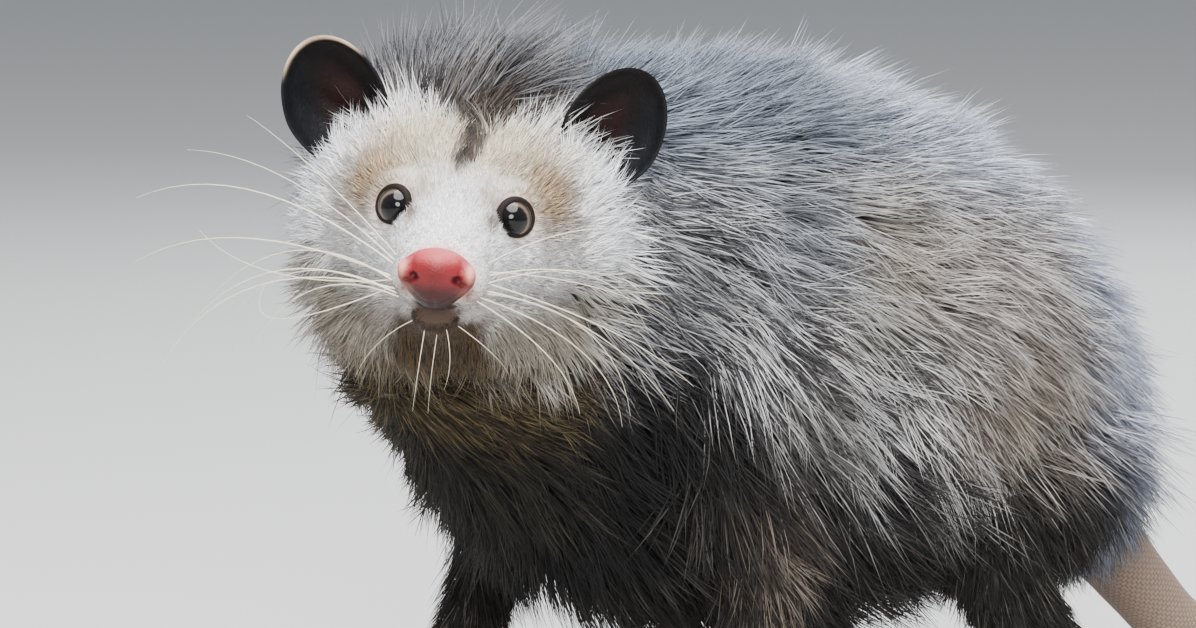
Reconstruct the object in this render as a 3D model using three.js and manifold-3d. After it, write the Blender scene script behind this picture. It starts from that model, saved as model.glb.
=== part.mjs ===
// A Virginia opossum at life size, standing with an arched back and its head turned to its left.
// Millimetres, +Z up, +X towards the front of the trunk, +Y to the animal's left, soles on z = 0.
// Every outline is that of the coat's tips, so the skin lies some way inside these solids.

import * as THREE from "three";
import { mergeVertices } from "three/addons/utils/BufferGeometryUtils.js";
import Module from "manifold-3d";

const wasm = await Module();
wasm.setup();

// Driving dimensions
const GAP = 0.3; // air between two neighbouring pieces
const HEAD_AT = [172, 58, 197]; // the head's origin, on the brow between the eyes
const HEAD_YAW = 47; // degrees from the trunk's axis, towards the left
const HEAD_PITCH = 3; // degrees, nose down
const HEAD_ROLL = 6; // degrees, left side down
const EYE_RADIUS = 6.6;
const EYE_AT = [-4, 17.2, -2.5]; // the left one, from the head's own origin
const NOSE_TIP = 58; // how far the nose reaches in front of the eyes
const EAR_HEIGHT = 46;
const EAR_WIDTH = 33;
const EAR_THICKNESS = 1.4;
const CENTRE_SHIFT = [4.7, -73, 0]; // brings the middle of the bounding box over the origin

// Moulding: three.js spheres and cylinders drawn out along a line of stations.
// A station is a place on the centre line with the half width and the height above and below it.

const UP = new THREE.Vector3(0, 0, 1);
const FORWARD = new THREE.Vector3(1, 0, 0);

function clean(geometry) {
  geometry.deleteAttribute("normal");
  geometry.deleteAttribute("uv");
  return mergeVertices(geometry, 1e-4);
}

function frameAt(line, t, upright) {
  const tangent = line.getTangent(THREE.MathUtils.clamp(t, 1e-4, 1 - 1e-4));
  const side = new THREE.Vector3().crossVectors(upright, tangent).normalize();
  const top = new THREE.Vector3().crossVectors(tangent, side);
  return { tangent, side, top };
}

// The share of a rounded end's full section at angle a into it, and how far along it lies.
function endShape(ring, rings, endRings) {
  const fromStart = ring / endRings;
  const fromFinish = (rings - ring) / endRings;
  if (fromStart < 1) {
    const a = (fromStart * Math.PI) / 2;
    return { scale: Math.sin(a), slide: -Math.cos(a), t: 0 };
  }
  if (fromFinish < 1) {
    const a = (fromFinish * Math.PI) / 2;
    return { scale: Math.sin(a), slide: Math.cos(a), t: 1 };
  }
  return { scale: 1, slide: 0, t: (ring - endRings) / (rings - 2 * endRings) };
}

// stations: [x, y, z, half width, height above, depth below]
// ends: how far the rounded ends stand out past the first and last station
function mould(stations, options) {
  const { around, along, ends, upright = UP, square = 1, grow = 0 } = options;
  const endRings = options.endRings ?? 3;
  const line = new THREE.CatmullRomCurve3(
    stations.map((s) => new THREE.Vector3(s[0], s[1], s[2])),
    false,
    "catmullrom",
    0.5,
  );
  const sizes = new THREE.CatmullRomCurve3(
    stations.map((s) => new THREE.Vector3(s[3], s[4], s[5])),
    false,
    "catmullrom",
    0.5,
  );
  const rings = along + 2 * endRings;
  const geometry = clean(new THREE.SphereGeometry(1, around, rings));
  const places = geometry.getAttribute("position");
  const soften = (v) => Math.sign(v) * Math.abs(v) ** square;
  for (let i = 0; i < places.count; i++) {
    const polar = Math.acos(THREE.MathUtils.clamp(places.getY(i), -1, 1));
    const ring = Math.round((polar / Math.PI) * rings);
    const { scale, slide, t } = endShape(ring, rings, endRings);
    const { tangent, side, top } = frameAt(line, t, upright);
    const size = sizes.getPoint(t);
    const angle = Math.atan2(places.getZ(i), places.getX(i));
    const across = soften(Math.cos(angle));
    const high = soften(Math.sin(angle));
    const reach = slide < 0 ? ends[0] : ends[1];
    const point = line
      .getPoint(t)
      .addScaledVector(tangent, slide * (reach + grow))
      .addScaledVector(side, scale * across * (size.x + grow))
      .addScaledVector(top, scale * high * ((high > 0 ? size.y : size.z) + grow));
    places.setXYZ(i, point.x, point.y, point.z);
  }
  return outwards(geometry);
}

// Turns the faces round where drawing a sphere along a line has turned them inwards.
function outwards(geometry) {
  const p = geometry.getAttribute("position");
  const index = geometry.index.array;
  const [a, b, c] = [new THREE.Vector3(), new THREE.Vector3(), new THREE.Vector3()];
  let volume = 0;
  for (let i = 0; i < index.length; i += 3) {
    a.fromBufferAttribute(p, index[i]);
    b.fromBufferAttribute(p, index[i + 1]);
    c.fromBufferAttribute(p, index[i + 2]);
    volume += a.dot(b.cross(c));
  }
  if (volume < 0) {
    for (let i = 0; i < index.length; i += 3) {
      [index[i], index[i + 1]] = [index[i + 1], index[i]];
    }
  }
  return geometry;
}

function mirrored(stations) {
  return stations.map(([x, y, z, ...sizes]) => [x, -y, z, ...sizes]);
}

// Solids for joining and cutting

function solid(geometry) {
  const merged = mergeVertices(geometry, 1e-4);
  return new wasm.Manifold(
    new wasm.Mesh({
      numProp: 3,
      vertProperties: new Float32Array(merged.getAttribute("position").array),
      triVerts: new Uint32Array(merged.index.array),
    }),
  );
}

function geometryOf(body) {
  const made = body.simplify(GAP / 4).getMesh();
  const places = new Float32Array(made.numVert * 3);
  for (let i = 0; i < made.numVert; i++) {
    places.set(made.vertProperties.subarray(i * made.numProp, i * made.numProp + 3), i * 3);
  }
  return new THREE.BufferGeometry()
    .setAttribute("position", new THREE.BufferAttribute(places, 3))
    .setIndex(new THREE.BufferAttribute(made.triVerts, 1));
}

// The largest of a solid's separate bodies, so that a cut leaves no crumbs.
function largest(body) {
  return body.decompose().reduce((best, one) => (one.volume() > best.volume() ? one : best));
}

// A box that fills one side of a plane, for cutting a solid there.
// Half the gap is left in front of the plane, or behind it where air is negative.
function halfSpace(point, normal, air = GAP) {
  const reach = 600;
  const direction = new THREE.Vector3(...normal).normalize();
  const turn = new THREE.Quaternion().setFromUnitVectors(UP, direction);
  const box = new THREE.BoxGeometry(2 * reach, 2 * reach, reach)
    .translate(0, 0, reach / 2 + air / 2)
    .applyQuaternion(turn)
    .translate(...point);
  return solid(clean(box));
}

const FLOOR = solid(
  clean(new THREE.BoxGeometry(2000, 2000, 200).translate(0, 0, -100)),
);

// Torso: rump, belly, chest and neck in one outline, parted by thin cuts afterwards

const TORSO = [
  [-143, 0, 78, 45, 42, 37],
  [-122, 0, 90, 64, 68, 48],
  [-88, 0, 108, 80, 86, 67],
  [-42, 0, 134, 93, 96, 95],
  [12, 0, 145, 92, 102, 106],
  [56, 0, 150, 81, 97, 98],
  [92, 1, 160, 71, 89, 88],
  [122, 2, 168, 61, 83, 76],
  [144, 1, 172, 53, 76, 68],
];
const TORSO_CUTS = [
  { name: "rump", at: [-84, 0, 140], normal: [1, 0, -0.1] },
  { name: "belly", at: [12, 0, 147], normal: [1, 0, 0.05] },
  { name: "chest", at: [76, 0, 156], normal: [1, 0.05, 0.25] },
];

// Limbs: each is one outline from inside the torso to the wrist or ankle, cut at its joints

const LEFT_FORELEG = [
  [66, 45, 136, 30, 36, 36],
  [56, 58, 106, 26, 31, 31],
  [46, 62, 81, 20, 25, 25],
  [50, 62, 53, 15, 17, 17],
  [60, 61, 27, 11, 12, 12],
  [65, 61, 16, 10, 10, 10],
];
const RIGHT_FORELEG = [
  [76, -45, 136, 30, 36, 36],
  [68, -58, 107, 26, 31, 31],
  [60, -62, 82, 20, 25, 25],
  [68, -61, 54, 15, 17, 17],
  [84, -58, 28, 11, 12, 12],
  [90, -58, 16, 10, 10, 10],
];
const LEFT_HIND_LEG = [
  [-92, 46, 102, 34, 46, 46],
  [-72, 66, 89, 34, 43, 43],
  [-54, 76, 68, 25, 30, 30],
  [-60, 80, 46, 17, 20, 20],
  [-78, 79, 27, 13, 13, 13],
  [-88, 79, 15, 11, 12, 12],
];
const HIND_LEG_SHIFT = -24; // the right hind leg stands this much further back

const LIMBS = [
  { side: "left", upper: "upper_arm", lower: "forearm", line: LEFT_FORELEG, joint: 2 },
  { side: "right", upper: "upper_arm", lower: "forearm", line: RIGHT_FORELEG, joint: 2 },
  { side: "left", upper: "thigh", lower: "shank", line: LEFT_HIND_LEG, joint: 2 },
  {
    side: "right",
    upper: "thigh",
    lower: "shank",
    line: mirrored(LEFT_HIND_LEG).map(([x, ...rest]) => [x + HIND_LEG_SHIFT, ...rest]),
    joint: 2,
  },
];

function limbGeometry(line, grow = 0) {
  return mould(line, { around: 12, along: 7, ends: [26, 5], endRings: 2, upright: FORWARD, grow });
}

// Feet: a sole with five digits, each ending in a claw but for the hind foot's thumb

const TOE_RADIUS = 3.1;
const CLAW_LENGTH = 7;

function digit(root, direction, length, clawed) {
  const along = new THREE.Vector3(direction[0], direction[1], 0).normalize();
  const at = (reach, z, r) => [root[0] + along.x * reach, root[1] + along.y * reach, z, r, r, r];
  const toe = [at(0, 5, 3.5), at(length * 0.5, 4.2, 2.9), at(length, 2.8, TOE_RADIUS)];
  const claw = [
    at(length + 3.2, 3.6, 1.4),
    at(length + 0.6 * CLAW_LENGTH, 3.4, 1.1),
    at(length + CLAW_LENGTH, 1.6, 0.55),
  ];
  const stations = clawed ? toe.concat(claw) : toe;
  return solid(
    mould(stations, {
      around: 6,
      along: stations.length - 1,
      ends: [2, clawed ? 0.5 : 2.5],
      endRings: 1,
    }),
  );
}

function foot(sole, digits) {
  const palm = solid(mould(sole, { around: 8, along: 2, ends: [6, 5], endRings: 2 }));
  const whole = digits.reduce(
    (body, d) => body.add(digit(d.root, d.direction, d.length, d.clawed)),
    palm,
  );
  return whole.subtract(FLOOR);
}

// Digits fan out round the front of the sole, from the inner side to the outer one.
function fan(at, outward, spread, lengths, width) {
  return lengths.map((length, i) => {
    const share = i / (lengths.length - 1) - 0.5;
    const angle = THREE.MathUtils.degToRad(share * spread);
    return {
      root: [
        at[0] + Math.cos(angle) * width * 0.55,
        at[1] + outward * share * width,
      ],
      direction: [Math.cos(angle), outward * Math.sin(angle)],
      length,
      clawed: true,
    };
  });
}

function forefoot(x, y, outward) {
  const sole = [
    [x - 7, y, 9, 9, 8, 10.5],
    [x + 2, y, 7.5, 10.5, 7, 9],
    [x + 10, y, 5.5, 11, 4.5, 7],
  ];
  return foot(sole, fan([x + 6, y], outward, 118, [12, 15, 16.5, 15.5, 13], 20));
}

function hindFoot(x, y, outward) {
  const sole = [
    [x - 12, y, 9, 8.5, 9, 10.5],
    [x + 6, y, 7.5, 9.5, 8, 9],
    [x + 26, y, 6, 11, 5.5, 7.5],
  ];
  const digits = fan([x + 22, y + outward * 2], outward, 62, [15, 17, 16.5, 14], 18);
  digits.push({
    root: [x + 12, y - outward * 8],
    direction: [0.35, -outward],
    length: 14,
    clawed: false,
  });
  return foot(sole, digits);
}

// Tail: bare and scaly, down from the rump to the floor and round towards the right

const TAIL = [
  [-146, 0, 76, 18],
  [-166, 0, 58, 15.5],
  [-186, 1, 38, 13],
  [-207, 3, 19.5, 11.8],
  [-236, 5, 10.6, 11],
  [-272, 3, 9.6, 10],
  [-306, -8, 8.3, 8.7],
  [-334, -28, 7, 7.4],
  [-352, -56, 5.6, 6],
  [-360, -88, 4, 4.4],
  [-358, -112, 2.6, 3],
];
const TAIL_LENGTHS = [
  ["tail_root", 0, 3],
  ["tail_upper", 3, 5],
  ["tail_middle", 5, 7],
  ["tail_lower", 7, 9],
  ["tail_tip", 9, 10],
];

// One length of the tail, with flat ends square to its line.
function tailLength(from, to, grow = 0) {
  const whole = new THREE.CatmullRomCurve3(
    TAIL.map(([x, y, z]) => new THREE.Vector3(x, y, z)),
  );
  const radii = new THREE.CatmullRomCurve3(
    TAIL.map(([, , , r]) => new THREE.Vector3(r, 0, 0)),
  );
  const last = TAIL.length - 1;
  const steps = (to - from) * 3;
  const geometry = clean(new THREE.CylinderGeometry(1, 1, 1, 10, steps));
  const places = geometry.getAttribute("position");
  for (let i = 0; i < places.count; i++) {
    const share = 0.5 - places.getY(i);
    const t = THREE.MathUtils.lerp(from, to, share) / last;
    const { tangent, side, top } = frameAt(whole, t, UP);
    const inset = share === 0 ? GAP / 2 : share === 1 ? -GAP / 2 : 0;
    const r = radii.getPoint(t).x + grow;
    const point = whole
      .getPoint(t)
      .addScaledVector(tangent, inset)
      .addScaledVector(side, r * places.getX(i))
      .addScaledVector(top, r * places.getZ(i));
    places.setXYZ(i, point.x, point.y, point.z);
  }
  return solid(outwards(geometry));
}

// Head, in its own frame: +X to the nose, +Y to its left, +Z up, from its origin on the brow

const HEAD = [
  [46, 0, -14.5, 11.5, 9.5, 13.5],
  [36, 0, -15, 14, 11.5, 18],
  [25, 0, -16, 16.5, 14.5, 21],
  [14, 0, -16, 19, 19, 25],
  [4, 0, -16, 23.5, 24.5, 28],
  [-7, 0, -16, 31, 31, 32],
  [-19, 0, -15, 42, 37, 35],
  [-33, 0, -13, 53, 41, 38],
  [-48, 0, -11, 61, 43, 41],
  [-62, 0, -9, 58, 42, 44],
];
const MOUTH_CUT = { at: [30, 0, -27.5], normal: [0.06, 0, -1] };
const MOUTH_CORNER = 4; // the mouth's corners lie this far in front of the eyes

function headGeometry(grow = 0) {
  return mould(HEAD, { around: 20, along: 14, ends: [5, 17], square: 0.92, grow });
}

// A ball with its poles on the eye's line of sight.
function eyeGeometry(side, grow = 0) {
  return clean(new THREE.SphereGeometry(EYE_RADIUS + grow, 12, 8)).translate(
    EYE_AT[0],
    side * EYE_AT[1],
    EYE_AT[2],
  );
}

// The pink pad at the end of the muzzle, with a nostril opening to each side.
function noseGeometry() {
  return mould(
    [
      [49, 0, -14.2, 11.2, 9, 9.6],
      [52.5, 0, -14, 11.4, 8.6, 9],
      [55.5, 0, -13.6, 9.6, 7.2, 7.2],
    ],
    { around: 18, along: 3, ends: [3, 2.5], endRings: 2, square: 0.9 },
  );
}

function nostril(side) {
  return solid(
    mould(
      [
        [52.5, side * 6, -15, 1.7, 1.7, 1.7],
        [55, side * 9, -15.4, 1.9, 1.9, 1.9],
        [57, side * 12.5, -15.6, 2.4, 2.2, 2.2],
      ],
      { around: 8, along: 2, ends: [1, 1], endRings: 1 },
    ),
  );
}

// The ears stand on the back corners of the crown, leaning outwards and turned a little to the side.
function earPose(side) {
  const turn = new THREE.Euler(
    THREE.MathUtils.degToRad(-24 * side),
    THREE.MathUtils.degToRad(4),
    THREE.MathUtils.degToRad(8 * side),
    "ZYX",
  );
  return new THREE.Matrix4().makeRotationFromEuler(turn).setPosition(-48, side * 43, 20);
}

// A cupped leaf: a ball flattened into a bowl, with its hollow towards the front.
function earGeometry(side) {
  const geometry = clean(new THREE.SphereGeometry(1, 18, 10));
  const places = geometry.getAttribute("position");
  const cup = 10;
  for (let i = 0; i < places.count; i++) {
    const facing = places.getY(i);
    const u = places.getX(i);
    const v = places.getZ(i);
    const open = 1 - (u * u + v * v);
    const narrow = 1 - 0.22 * Math.max(0, -v) ** 1.5;
    places.setXYZ(
      i,
      -cup * open + facing * EAR_THICKNESS,
      (u * narrow * EAR_WIDTH) / 2,
      (v * EAR_HEIGHT) / 2,
    );
  }
  return outwards(geometry.applyMatrix4(earPose(side)));
}

// The room in front of an ear, where the neck's coat parts and lets it stand free.
function earHollow(side) {
  return clean(new THREE.SphereGeometry(1, 12, 8))
    .scale(17, EAR_WIDTH / 2 + 3, EAR_HEIGHT / 2 + 3)
    .applyMatrix4(earPose(side))
    .translate(9, 0, 3);
}

// Putting it together

const COLOURS = {
  grizzled: { color: 0x9d9a99, roughness: 0.95 },
  face: { color: 0xe6e0d6, roughness: 0.95 },
  dark_fur: { color: 0x35312f, roughness: 0.95 },
  ear_leather: { color: 0x241a18, roughness: 0.55 },
  nose_skin: { color: 0xcf6f72, roughness: 0.4 },
  eye: { color: 0x0d0b0b, roughness: 0.08 },
  foot_skin: { color: 0x9a7770, roughness: 0.6 },
  tail_skin: { color: 0xb79c8e, roughness: 0.7 },
};

const opossum = new THREE.Group();
opossum.position.set(...CENTRE_SHIFT);
opossum.rotation.z = -Math.PI / 2; // the finished model's front faces -Y

function piece(name, body, colour, parent = opossum) {
  const mesh = new THREE.Mesh(
    geometryOf(body),
    new THREE.MeshStandardMaterial({ ...COLOURS[colour], metalness: 0 }),
  );
  mesh.name = name;
  parent.add(mesh);
}

// Cuts a solid by a plane and gives the part behind it and the part in front.
function parted(body, at, normal) {
  const back = normal.map((n) => -n);
  return [body.intersect(halfSpace(at, back)), body.intersect(halfSpace(at, normal))];
}

const headGroup = new THREE.Group();
headGroup.position.set(...HEAD_AT);
headGroup.rotation.set(
  THREE.MathUtils.degToRad(-HEAD_ROLL),
  THREE.MathUtils.degToRad(HEAD_PITCH),
  THREE.MathUtils.degToRad(HEAD_YAW),
  "ZYX",
);
headGroup.updateMatrix();
opossum.add(headGroup);

const eyes = [1, -1].map((side) => solid(eyeGeometry(side)));
const sockets = [1, -1].map((side) => solid(eyeGeometry(side, GAP)));
const nose = nostril(1).add(nostril(-1));
const noseSolid = solid(noseGeometry());
let skull = solid(headGeometry());
skull = sockets.reduce((body, socket) => body.subtract(socket), skull);
skull = skull.subtract(halfSpace([48, 0, 0], [1, 0, 0.04]));
const snout = noseSolid
  .intersect(halfSpace([48 + GAP, 0, 0], [1, 0, 0.04]))
  .subtract(nose);

function jawSpace(air) {
  const below = halfSpace(MOUTH_CUT.at, MOUTH_CUT.normal, air);
  return below.intersect(halfSpace([MOUTH_CORNER, 0, -30], [1, 0, 0.6], air));
}

const jaw = skull.intersect(jawSpace(GAP));
const head = largest(skull.subtract(jawSpace(-GAP)));
const wholeHead = solid(headGeometry(GAP));

piece("head", head, "face", headGroup);
piece("lower_jaw", largest(jaw), "face", headGroup);
piece("nose", largest(snout), "nose_skin", headGroup);
[1, -1].forEach((side, i) => {
  const label = side > 0 ? "left" : "right";
  piece("eye_" + label, eyes[i], "eye", headGroup);
  piece("ear_" + label, largest(solid(earGeometry(side)).subtract(wholeHead)), "ear_leather", headGroup);
});

const headInBody = solid(headGeometry(GAP).applyMatrix4(headGroup.matrix));
const earsInBody = [1, -1].map((side) =>
  solid(earGeometry(side).applyMatrix4(headGroup.matrix)).add(
    solid(earHollow(side).applyMatrix4(headGroup.matrix)),
  ),
);

const tailRoot = tailLength(0, 3, GAP);
let torso = solid(
  mould(TORSO, { around: 20, along: 12, ends: [24, 12], square: 0.94 }),
);
torso = torso.subtract(headInBody).subtract(tailRoot);
torso = earsInBody.reduce((body, ear) => body.subtract(ear), torso);

const feet = {
  forefoot_left: forefoot(71, 61, 1),
  forefoot_right: forefoot(96, -58, -1),
  hindfoot_left: hindFoot(-82, 79, 1),
  hindfoot_right: hindFoot(-82 + HIND_LEG_SHIFT, -79, -1),
};

for (const limb of LIMBS) {
  torso = torso.subtract(solid(limbGeometry(limb.line, GAP)).add(solid(limbGeometry(limb.line))));
  const whole = solid(limbGeometry(limb.line)).subtract(halfSpace([0, 0, 13], [0, 0, -1]));
  const [x, y, z] = limb.line[limb.joint];
  const before = new THREE.Vector3(...limb.line[limb.joint - 1].slice(0, 3));
  const after = new THREE.Vector3(...limb.line[limb.joint + 1].slice(0, 3));
  const along = after.sub(before).toArray();
  const [upper, lower] = parted(whole, [x, y, z], along);
  piece(limb.upper + "_" + limb.side, largest(upper), "grizzled");
  piece(limb.lower + "_" + limb.side, largest(lower), "dark_fur");
}

for (const [name, body] of Object.entries(feet)) {
  piece(name, largest(body.intersect(halfSpace([0, 0, 13 - 2 * GAP], [0, 0, -1]))), "foot_skin");
}

let rest = torso;
for (const cut of TORSO_CUTS) {
  const [behind, ahead] = parted(rest, cut.at, cut.normal);
  piece(cut.name, largest(behind), "grizzled");
  rest = ahead;
}
piece("neck", largest(rest), "grizzled");

for (const [name, from, to] of TAIL_LENGTHS) {
  piece(name, largest(tailLength(from, to).subtract(FLOOR)), "tail_skin");
}

export default opossum;
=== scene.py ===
# A Virginia opossum at life size, standing with an arched back and its head turned to its left:
# one skin over the whole body, with eyes, lids, nose, ears, claws and whiskers set into it, and a
# winter coat of tufts that lie along the body.

import math

import bpy
import numpy as np
from mathutils.kdtree import KDTree
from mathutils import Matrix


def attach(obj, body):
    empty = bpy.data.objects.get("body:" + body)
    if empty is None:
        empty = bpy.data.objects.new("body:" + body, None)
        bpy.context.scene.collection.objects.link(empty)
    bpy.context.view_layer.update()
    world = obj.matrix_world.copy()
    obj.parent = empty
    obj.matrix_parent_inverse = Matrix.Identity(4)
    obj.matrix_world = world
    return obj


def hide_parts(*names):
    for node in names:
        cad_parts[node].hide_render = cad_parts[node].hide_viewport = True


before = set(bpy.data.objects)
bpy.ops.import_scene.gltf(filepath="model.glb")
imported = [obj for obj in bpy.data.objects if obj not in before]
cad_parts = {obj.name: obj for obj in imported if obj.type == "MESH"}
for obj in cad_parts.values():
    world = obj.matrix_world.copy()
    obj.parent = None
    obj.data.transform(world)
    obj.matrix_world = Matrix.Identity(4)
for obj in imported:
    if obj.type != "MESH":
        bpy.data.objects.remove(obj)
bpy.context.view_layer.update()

# The studio. The animal stands on a wide pale floor under a large soft light from above, with a
# weaker one from the camera's side; the long lens looks from in front and to the animal's left.

CAMERA_AT = (1.3128, -1.2369, 0.3317)
CAMERA_TURN = (math.radians(84), 0, math.radians(50))
CAMERA_LENS = 158
FLOOR_GREY = (0.56, 0.55, 0.53, 1)

bpy.ops.object.select_all(action="DESELECT")
bpy.ops.object.camera_add(location=CAMERA_AT, rotation=CAMERA_TURN)
camera = bpy.context.object
camera.data.lens = CAMERA_LENS
camera.data.clip_end = 60
bpy.context.scene.camera = camera

bpy.ops.object.select_all(action="DESELECT")
bpy.ops.mesh.primitive_circle_add(vertices=96, radius=14, fill_type="NGON")
floor = bpy.context.object
floor.name = "studio_floor"
floor_paint = bpy.data.materials.new("floor_paint")
floor_paint.use_nodes = True
floor_paint.node_tree.nodes["Principled BSDF"].inputs["Base Color"].default_value = FLOOR_GREY
floor_paint.node_tree.nodes["Principled BSDF"].inputs["Roughness"].default_value = 0.9
floor.data.materials.append(floor_paint)

sky = bpy.data.worlds.new("studio_sky")
sky.use_nodes = True
sky.node_tree.nodes["Background"].inputs["Color"].default_value = (0.80, 0.86, 0.95, 1)
sky.node_tree.nodes["Background"].inputs["Strength"].default_value = 0.55
bpy.context.scene.world = sky

LIGHTS = [
    # name, place, target, size, watts, colour
    ("light_above", (0.35, -0.25, 1.9), (0.0, -0.05, 0.15), 1.7, 108, (0.97, 0.985, 1.0)),
    ("light_side", (1.7, -1.6, 1.1), (0.0, -0.15, 0.18), 1.2, 80, (1.0, 0.985, 0.96)),
    ("light_back", (-0.9, 1.5, 1.2), (0.0, 0.0, 0.15), 1.0, 26, (0.88, 0.94, 1.0)),
]
for light_name, light_at, light_to, light_size, watts, light_colour in LIGHTS:
    bpy.ops.object.light_add(type="AREA", location=light_at)
    lamp = bpy.context.object
    lamp.name = light_name
    lamp.data.shape = "DISK"
    lamp.data.size = light_size
    lamp.data.energy = watts
    lamp.data.color = light_colour
    aim = lamp.location.copy()
    aim.xyz = [to - at for to, at in zip(light_to, light_at)]
    lamp.rotation_euler = aim.to_track_quat("-Z", "Y").to_euler()

# The body under the coat: trunk, neck, skull, jaw, legs, paws and tail. Each is a ball drawn out
# along a line of stations, measured in millimetres forward, left and up, and all of them are then
# melted into one closed skin.

BODY_SHIFT = (4.7, -73.0)  # the solids' own shift, which brings the box's middle to the origin
HEAD_AT = np.array((172.0, 58.0, 197.0))  # on the brow, between the eyes
HEAD_YAW = math.radians(47)
HEAD_PITCH = math.radians(3)
HEAD_ROLL = math.radians(6)


def place(points):
    """Body millimetres (forward, left, up) in the frame's metres."""
    points = np.asarray(points, float)
    left = points[..., 1] + BODY_SHIFT[0]
    back = -points[..., 0] + BODY_SHIFT[1]
    return np.stack([left, back, points[..., 2]], -1) / 1000


def axis_turn(axis, angle):
    """A turn round one axis, as a matrix."""
    c, s = math.cos(angle), math.sin(angle)
    a, b = [(1, 2), (2, 0), (0, 1)][axis]
    turn = np.eye(3)
    turn[a, a] = turn[b, b] = c
    turn[b, a] = s
    turn[a, b] = -s
    return turn


HEAD_TURN = axis_turn(2, HEAD_YAW) @ axis_turn(1, HEAD_PITCH) @ axis_turn(0, -HEAD_ROLL)


def from_head(points):
    """Head millimetres (to the nose, to its left, up) in body millimetres."""
    return np.asarray(points, float) @ HEAD_TURN.T + HEAD_AT


def unit(vectors):
    """The vectors at a length of 1."""
    vectors = np.asarray(vectors, float)
    length = np.linalg.norm(vectors, axis=-1, keepdims=True)
    return vectors / np.maximum(length, 1e-9)


def row_at(table, t):
    """The smooth row of a table at t, from 0 at its first row to 1 at its last."""
    table = np.asarray(table, float)
    last = len(table) - 1
    reach = np.clip(t, 0, 1) * last
    i = np.minimum(reach.astype(int), last - 1)
    f = (reach - i)[:, None]
    padded = np.vstack([2 * table[0] - table[1], table, 2 * table[-1] - table[-2]])
    a, b, c, d = (padded[i + k] for k in range(4))
    bend = 2 * a - 5 * b + 4 * c - d
    twist = 3 * b - a - 3 * c + d
    return b + 0.5 * (f * (c - a) + f**2 * bend + f**3 * twist)


def places_of(piece):
    flat = np.empty(len(piece.data.vertices) * 3)
    piece.data.vertices.foreach_get("co", flat)
    return flat.reshape(-1, 3)


def set_places(piece, points):
    piece.data.vertices.foreach_set("co", np.asarray(points, float).ravel())
    piece.data.update()


clues = []  # where each part's surface runs: place, part, share along it, angle round it


def moulded(name, stations, ends, upright=(0, 0, 1), around=32, rings=48, square=1.0, in_head=False):
    """A ball drawn out along stations: centre, half width, height above, depth below. Its two round
    ends reach past the first and the last station."""
    bpy.ops.object.select_all(action="DESELECT")
    bpy.ops.mesh.primitive_uv_sphere_add(segments=around, ring_count=rings, radius=1)
    piece = bpy.context.object
    piece.name = name
    ball = places_of(piece)
    polar = np.arccos(np.clip(ball[:, 2], -1, 1)) / math.pi
    cap = 0.14  # the share of the ball at each end that makes the round end
    step = 0.002  # how far along the table its direction is measured
    rise = np.clip(np.minimum(polar, 1 - polar) / cap, 0, 1) * math.pi / 2
    t = np.clip((polar - cap) / (1 - 2 * cap), 0, 1)
    slide = np.cos(rise) * np.where(polar < 0.5, -ends[0], ends[1])
    row = row_at(stations, t)
    ahead = row_at(stations, np.minimum(t + step, 1))
    behind = row_at(stations, np.maximum(t - step, 0))
    tangent = unit(ahead[:, :3] - behind[:, :3])
    side = unit(np.cross(upright, tangent))
    top = np.cross(tangent, side)
    angle = np.arctan2(ball[:, 1], ball[:, 0])
    across = np.sign(np.cos(angle)) * np.abs(np.cos(angle)) ** square
    high = np.sign(np.sin(angle)) * np.abs(np.sin(angle)) ** square
    swell = np.sin(rise)
    height = np.where(high > 0, row[:, 4], row[:, 5])
    points = row[:, :3] + tangent * slide[:, None]
    points += side * (across * swell * row[:, 3])[:, None]
    points += top * (high * swell * height)[:, None]
    points = from_head(points) if in_head else points
    set_places(piece, place(points))
    clues.append((name, points, t, tangent))
    return piece


def other_side(stations, ahead=0):
    return [(s[0] + ahead, -s[1], *s[2:]) for s in stations]


TRUNK = [
    (-140, 0, 80, 30, 26, 24),
    (-120, 0, 90, 46, 47, 32),
    (-88, 0, 110, 61, 63, 50),
    (-42, 0, 134, 73, 74, 78),
    (12, 0, 145, 71, 79, 88),
    (56, 0, 150, 61, 75, 78),
    (92, 2, 160, 52, 70, 67),
    (118, 4, 172, 49, 60, 56),
    (134, 4, 183, 42, 46, 55),
    (147, 2, 184, 31, 38, 52),
]
FORELEG = [
    (66, 40, 138, 20, 30, 30),
    (56, 50, 108, 16, 22, 22),
    (46, 57, 81, 11, 15, 14),
    (50, 60, 53, 8.5, 9.5, 9.5),
    (60, 61, 27, 7, 7.5, 7.5),
    (66, 61, 10, 6.5, 7, 7),
]
FORELEG_RIGHT = [
    (76, -40, 138, 20, 30, 30),
    (68, -50, 108, 16, 22, 22),
    (60, -57, 81, 11, 15, 14),
    (68, -60, 53, 8.5, 9.5, 9.5),
    (84, -58, 27, 7, 7.5, 7.5),
    (91, -58, 10, 6.5, 7, 7),
]
HIND_LEG = [
    (-92, 38, 104, 24, 36, 36),
    (-72, 54, 90, 21, 32, 32),
    (-54, 65, 68, 14, 19, 19),
    (-60, 74, 46, 9.5, 12, 12),
    (-78, 78, 27, 7.5, 8.5, 8.5),
    (-90, 79, 10, 6.5, 8, 8),
]
HIND_RIGHT_BACK = -24  # the right hind leg stands this much further back
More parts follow.
